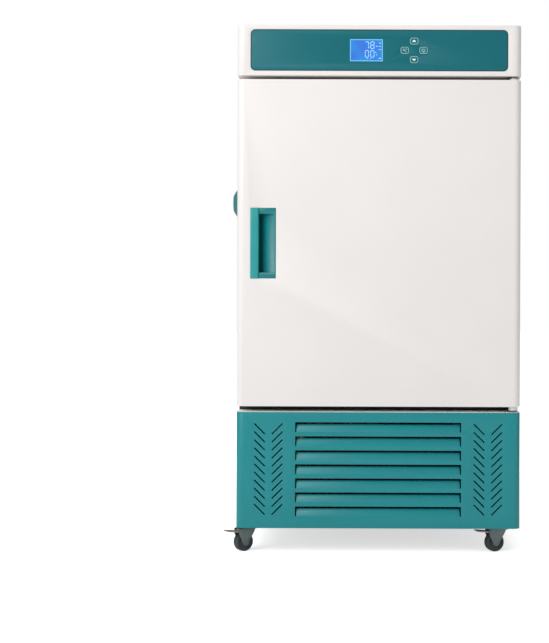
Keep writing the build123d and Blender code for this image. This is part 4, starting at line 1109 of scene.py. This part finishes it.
@dataclass
class Cabinet:
    """The fixed cabinet with its chamber, header and machine base."""

    header_round: float = 0.7
    sheet_round: float = 0.35
    louvre_round: float = 0.3
    film_round: float = 0.3
    # Size of the black strip of painted shade under the door.
    shade_strip_gap: float = 0.5
    shade_strip_t: float = 1.2
    shade_strip_round: float = 0.3
    # Place of the black sheet of painted shade inside the rear vents.
    vent_shade_x: tuple[float, float] = (45.0, 202.0)
    vent_shade_z: tuple[float, float] = (148.0, 254.0)
    vent_shade_t: float = 0.8
    vent_shade_round: float = 0.1
    # Size of the dark line of painted shade round the control film.
    line_w: float = 1.4
    line_t: float = 0.05
    line_inset: float = 1.0
    line_corner: float = 9.5
    screw_inset: float = 9.0
    screw: PanScrew = PanScrew()
    screw_grids: tuple[tuple[str, int, int], ...] = (("back_panel", 3, 5), ("base_rear_panel", 3, 2))
    plain: tuple[str, ...] = (
        "base_pan",
        "base_posts",
        "foam_core",
        "chamber_liner",
        "control_board",
        "electronics_tray",
        "shelf_rails",
        "shelf_lower",
        "shelf_upper",
        "fan_motor",
        "evaporator",
        "heater",
        "air_sensor",
        "compressor",
        "condenser",
        "fan_shroud",
        "refrigerant_pipes",
        "caster_plates",
        "hinge_brackets",
        "port_tube",
        "display_window",
        "duct_cover",
        "side_panel_left",
        "side_panel_right",
        "back_panel",
        "mains_inlet",
        "front_frame",
        "base_rear_panel",
    )

    def build(self, stock: Stock) -> list[bpy.types.Object]:
        """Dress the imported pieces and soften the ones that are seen.

        Args:
            stock: The finished materials.

        Returns:
            The new and the dressed pieces.
        """
        made = [stock.dress_node(node) for node in self.plain]
        made.append(softened(stock, "header_cover", self.header_round))
        made.append(softened(stock, "control_fascia", self.film_round))
        made.append(softened(stock, "base_front_cover", self.louvre_round))
        sheets = ("base_side_left", "base_side_right", "top_panel")
        made += [softened(stock, node, self.sheet_round) for node in sheets]
        made.append(self.deck(stock))
        made.append(self.shade_strip(stock))
        made.append(self.film_edge_shade(stock))
        made.append(self.vent_shade(stock))
        made += self.rear_screws(stock)
        return made

    def deck(self, stock: Stock) -> bpy.types.Object:
        """Soften the deck sheet and paint its upright edges like the base; its near-white top is lightened as
        a painted reflection of the grazing light under the door.

        Args:
            stock: The finished materials.

        Returns:
            The new piece.
        """
        deck = softened(stock, "base_deck", self.sheet_round)
        deck.data.materials.append(stock.slots["base_teal"])
        # Top faces keep the near-white paint as painted reflection; upright faces take the base teal.
        for face in deck.data.polygons:
            if abs(face.normal.z) < UPRIGHT_SHARE:
                face.material_index = 1
        return deck

    def shade_strip(self, stock: Stock) -> bpy.types.Object:
        """Lay a black strip along the bottom of the frame, as painted shade in the gap under the door.

        Args:
            stock: The finished materials.

        Returns:
            The new piece.
        """
        frame_low, frame_high = mesh_bounds("front_frame")
        deck_top = mesh_bounds("base_deck")[1].z
        door_low = mesh_bounds("door_skin")[0].z
        # Black strip as painted shade: it darkens the gap between door and deck, where only shadow falls.
        bench = Workbench("painted_shade_strip")
        low = (frame_low.x + self.shade_strip_gap * MM, frame_low.y - self.shade_strip_t * MM, deck_top)
        high = (frame_high.x - self.shade_strip_gap * MM, frame_low.y, door_low)
        bench.strip(low, high, self.shade_strip_round * MM)
        return stock.dress(bench.piece("cabinet"), "black_plastic")

    def film_edge_shade(self, stock: Stock) -> bpy.types.Object:
        """Lay a dark line round the control film, as painted shade in the gap at the film's edge.

        Args:
            stock: The finished materials.

        Returns:
            The new piece.
        """
        low, high = mesh_bounds("control_fascia")
        size = [(high[axis] - low[axis]) / MM - self.line_inset for axis in (0, 2)]
        middle = Vector(((low.x + high.x) / 2, low.y - self.line_t * MM, (low.z + high.z) / 2))
        # Dark line as painted shade in the gap at the film's edge.
        bench = Workbench("fascia_shade_line")
        printed_ring(bench, size, self.line_corner, self.line_w, self.line_t)
        bmesh.ops.translate(bench.bm, verts=bench.bm.verts, vec=middle)
        return stock.dress(bench.piece("cabinet"), "painted_edge_shade")

    def vent_shade(self, stock: Stock) -> bpy.types.Object:
        """Hang a black sheet inside the rear vents, as painted shade that keeps the view through the vents
        dark.

        Args:
            stock: The finished materials.

        Returns:
            The new piece.
        """
        inner_y = mesh_bounds("base_rear_panel")[0].y
        (left, right), (bottom, top) = self.vent_shade_x, self.vent_shade_z
        # Black sheet as painted shade behind the vents, where only shadow would be seen.
        bench = Workbench("vent_shade_sheet")
        low = (left * MM, inner_y - self.vent_shade_t * MM, bottom * MM)
        bench.strip(low, (right * MM, inner_y, top * MM), self.vent_shade_round * MM)
        return stock.dress(bench.piece("cabinet"), "black_plastic")

    def rear_screws(self, stock: Stock) -> list[bpy.types.Object]:
        """Drive screws round the back panel and the rear panel of the base.

        Args:
            stock: The finished materials.

        Returns:
            One new piece per panel.
        """
        made = []
        for node, across, up in self.screw_grids:
            low, high = mesh_bounds(node)
            bench = Workbench(f"{node}_screws")
            columns = spaced(low.x / MM + self.screw_inset, high.x / MM - self.screw_inset, across)
            rows = spaced(low.z / MM + self.screw_inset, high.z / MM - self.screw_inset, up)
            for i, x in enumerate(columns):
                for k, z in enumerate(rows):
                    if i in (0, across - 1) or k in (0, up - 1):
                        self.screw.add(bench, facing((0, 1, 0), (x, high.y / MM, z)))
            made.append(stock.dress(bench.piece("cabinet"), "zinc"))
        return made


@dataclass
class Door:
    """The insulated door with its handle, seal and hinge bushes."""

    skin_round: float = 0.9
    cup_round: float = 0.7
    grip_round: float = 0.9
    plain: tuple[str, ...] = ("door_foam", "door_liner", "door_gasket", "hinge_bushes")

    def build(self, stock: Stock) -> list[bpy.types.Object]:
        """Dress the door and round its skin, cup and grip.

        Args:
            stock: The finished materials.

        Returns:
            The new and the dressed pieces.
        """
        made = [stock.dress_node(node) for node in self.plain]
        made.append(softened(stock, "door_skin", self.skin_round))
        made.append(softened(stock, "handle_cup", self.cup_round))
        made.append(softened(stock, "door_handle", self.grip_round))
        return made


@dataclass
class Movers:
    """The small pieces that move: keys, rocker, port cap and fans."""

    key_round: float = 0.35
    cap_round: float = 0.6
    rocker_round: float = 0.5
    fan_round: float = 0.3

    def build(self, stock: Stock) -> list[bpy.types.Object]:
        """Dress the moving small pieces.

        Args:
            stock: The finished materials.

        Returns:
            The new pieces.
        """
        keys = ("key_up", "key_down", "key_set", "key_light")
        made = [softened(stock, key, self.key_round) for key in keys]
        made.append(softened(stock, "port_cap", self.cap_round))
        made.append(softened(stock, "power_rocker", self.rocker_round))
        made += [softened(stock, fan, self.fan_round) for fan in ("chamber_fan", "condenser_fan")]
        return made


@dataclass
class Caster:
    """One swivel caster under a corner of the base."""

    name: str
    braked: bool
    metal_round: float = 0.4
    wheel_round: float = 0.6

    def build(self, stock: Stock) -> list[bpy.types.Object]:
        """Dress the fork, the wheel and the brake pedal.

        Args:
            stock: The finished materials.

        Returns:
            The new pieces.
        """
        made = [
            softened(stock, f"fork_{self.name}", self.metal_round),
            softened(stock, f"wheel_{self.name}", self.wheel_round),
        ]
        if self.braked:
            made.append(softened(stock, f"brake_{self.name}", self.metal_round))
        return made


@dataclass(frozen=True)
class Lamp:
    """One square soft light, in metres and watts."""

    name: str
    place: tuple[float, float, float]
    size: float
    power: float

    def hang(self, aim: Sequence[float]) -> bpy.types.Object:
        """Hang the light.

        Args:
            aim: Point that it faces, in metres.

        Returns:
            The light.
        """
        data = bpy.data.lights.new(self.name, "AREA")
        data.shape = "SQUARE"
        data.size = self.size
        data.energy = self.power
        lamp = bpy.data.objects.new(self.name, data)
        lamp.location = self.place
        lamp.rotation_euler = (Vector(aim) - Vector(self.place)).to_track_quat("-Z", "Y").to_euler()
        bpy.context.scene.collection.objects.link(lamp)
        return lamp


@dataclass
class Studio:
    """Floor, white surroundings, soft lights and the camera, in metres."""

    lamps: tuple[Lamp, ...] = (
        Lamp("key_light", (-2.4, -3.0, 2.6), 2.2, 104.0),
        Lamp("fill_light", (2.6, -2.6, 1.4), 2.4, 10.0),
        Lamp("top_light", (0.3, 0.4, 3.4), 2.4, 28.0),
    )
    aim: tuple[float, float, float] = (0.0, 0.0, 0.6)
    world_level: float = 0.38
    floor_size: float = 30.0
    floor_grey: float = 0.94
    floor_greys: tuple[float, float] = (0.93, 0.95)
    floor_roughness: float = 0.85
    floor_scale: float = 2.0
    floor_gloss: float = 0.1
    glow_reach: tuple[float, float] = (0.4, 1.3)
    glow_level: tuple[float, float] = (0.6, 1.0)
    eye: tuple[float, float, float] = (0.0135, -3.21, 0.559)
    lens_mm: float = 77.0
    sensor_mm: float = 36.0
    shift: tuple[float, float] = (-0.162, -0.049)
    roll_degrees: float = 0.2

    def surroundings(self) -> None:
        """Light the air evenly, and show plain white behind the object."""
        world = bpy.data.worlds.new("surroundings")
        bpy.context.scene.world = world
        world.use_nodes = True
        tree = world.node_tree
        soft = tree.nodes["Background"]
        soft.inputs["Color"].default_value = WHITE_LIGHT
        soft.inputs["Strength"].default_value = self.world_level
        seen = tree.nodes.new("ShaderNodeBackground")
        seen.inputs["Color"].default_value = WHITE_LIGHT
        path = tree.nodes.new("ShaderNodeLightPath")
        mix = tree.nodes.new("ShaderNodeMixShader")
        tree.links.new(path.outputs["Is Camera Ray"], mix.inputs["Fac"])
        tree.links.new(soft.outputs["Background"], mix.inputs[1])
        tree.links.new(seen.outputs["Background"], mix.inputs[2])
        tree.links.new(mix.outputs["Shader"], tree.nodes["World Output"].inputs["Surface"])

    def floor(self) -> bpy.types.Object:
        """Lay a plain pale floor that fades to white away from the casters.

        Returns:
            The floor.
        """
        bpy.ops.mesh.primitive_plane_add(size=self.floor_size, location=(0, 0, 0))
        floor = bpy.context.object
        floor.name = "floor"
        surface = Surface("floor_paint", (self.floor_grey,) * 3, self.floor_roughness)
        stops = [(place, (grey, grey, grey)) for place, grey in zip(NOISE_SPAN, self.floor_greys)]
        surface.paint(surface.noise(self.floor_scale, 2.0), stops)
        surface.set(Specular_IOR_Level=self.floor_gloss)
        surface.shader.inputs["Emission Color"].default_value = WHITE_LIGHT
        tree = surface.tree
        reach = tree.nodes.new("ShaderNodeVectorMath")
        reach.operation = "LENGTH"
        tree.links.new(surface.coordinates.outputs["Object"], reach.inputs[0])
        glow = surface.span(reach.outputs["Value"], self.glow_reach, self.glow_level)
        path = tree.nodes.new("ShaderNodeLightPath")
        seen = tree.nodes.new("ShaderNodeMath")
        seen.operation = "MULTIPLY"
        tree.links.new(path.outputs["Is Camera Ray"], seen.inputs[0])
        tree.links.new(glow, seen.inputs[1])
        tree.links.new(seen.outputs["Value"], surface.shader.inputs["Emission Strength"])
        floor.data.materials.append(surface.material)
        return floor

    def camera(self) -> bpy.types.Object:
        """Set the camera at the photograph's place.

        Returns:
            The camera.
        """
        data = bpy.data.cameras.new("camera")
        data.lens = self.lens_mm
        data.sensor_width = self.sensor_mm
        data.shift_x, data.shift_y = self.shift
        camera = bpy.data.objects.new("camera", data)
        level = Matrix.Rotation(math.radians(90), 4, "X")
        roll = Matrix.Rotation(math.radians(self.roll_degrees), 4, "Z")
        camera.matrix_world = Matrix.Translation(self.eye) @ level @ roll
        bpy.context.scene.collection.objects.link(camera)
        bpy.context.scene.camera = camera
        return camera

    def build(self) -> None:
        """Set up the whole studio."""
        self.surroundings()
        self.floor()
        for lamp in self.lamps:
            lamp.hang(self.aim)
        self.camera()
        bpy.context.scene.view_settings.view_transform = "Standard"


def main() -> None:
    """Dress the incubator, piece by piece, and set up the studio."""
    logging.basicConfig(level=logging.INFO, format="%(message)s")
    stock = Stock()
    parts = [Cabinet(), Door(), Movers(), PrintedPanel()]
    parts += [
        Caster(name, braked=name.startswith("front"))
        for name in ("front_left", "front_right", "rear_left", "rear_right")
    ]
    for part in parts:
        made = part.build(stock)
        log.info("%s: %d pieces", type(part).__name__, len(made))
    Studio().build()


if __name__ == "__main__":
    main()
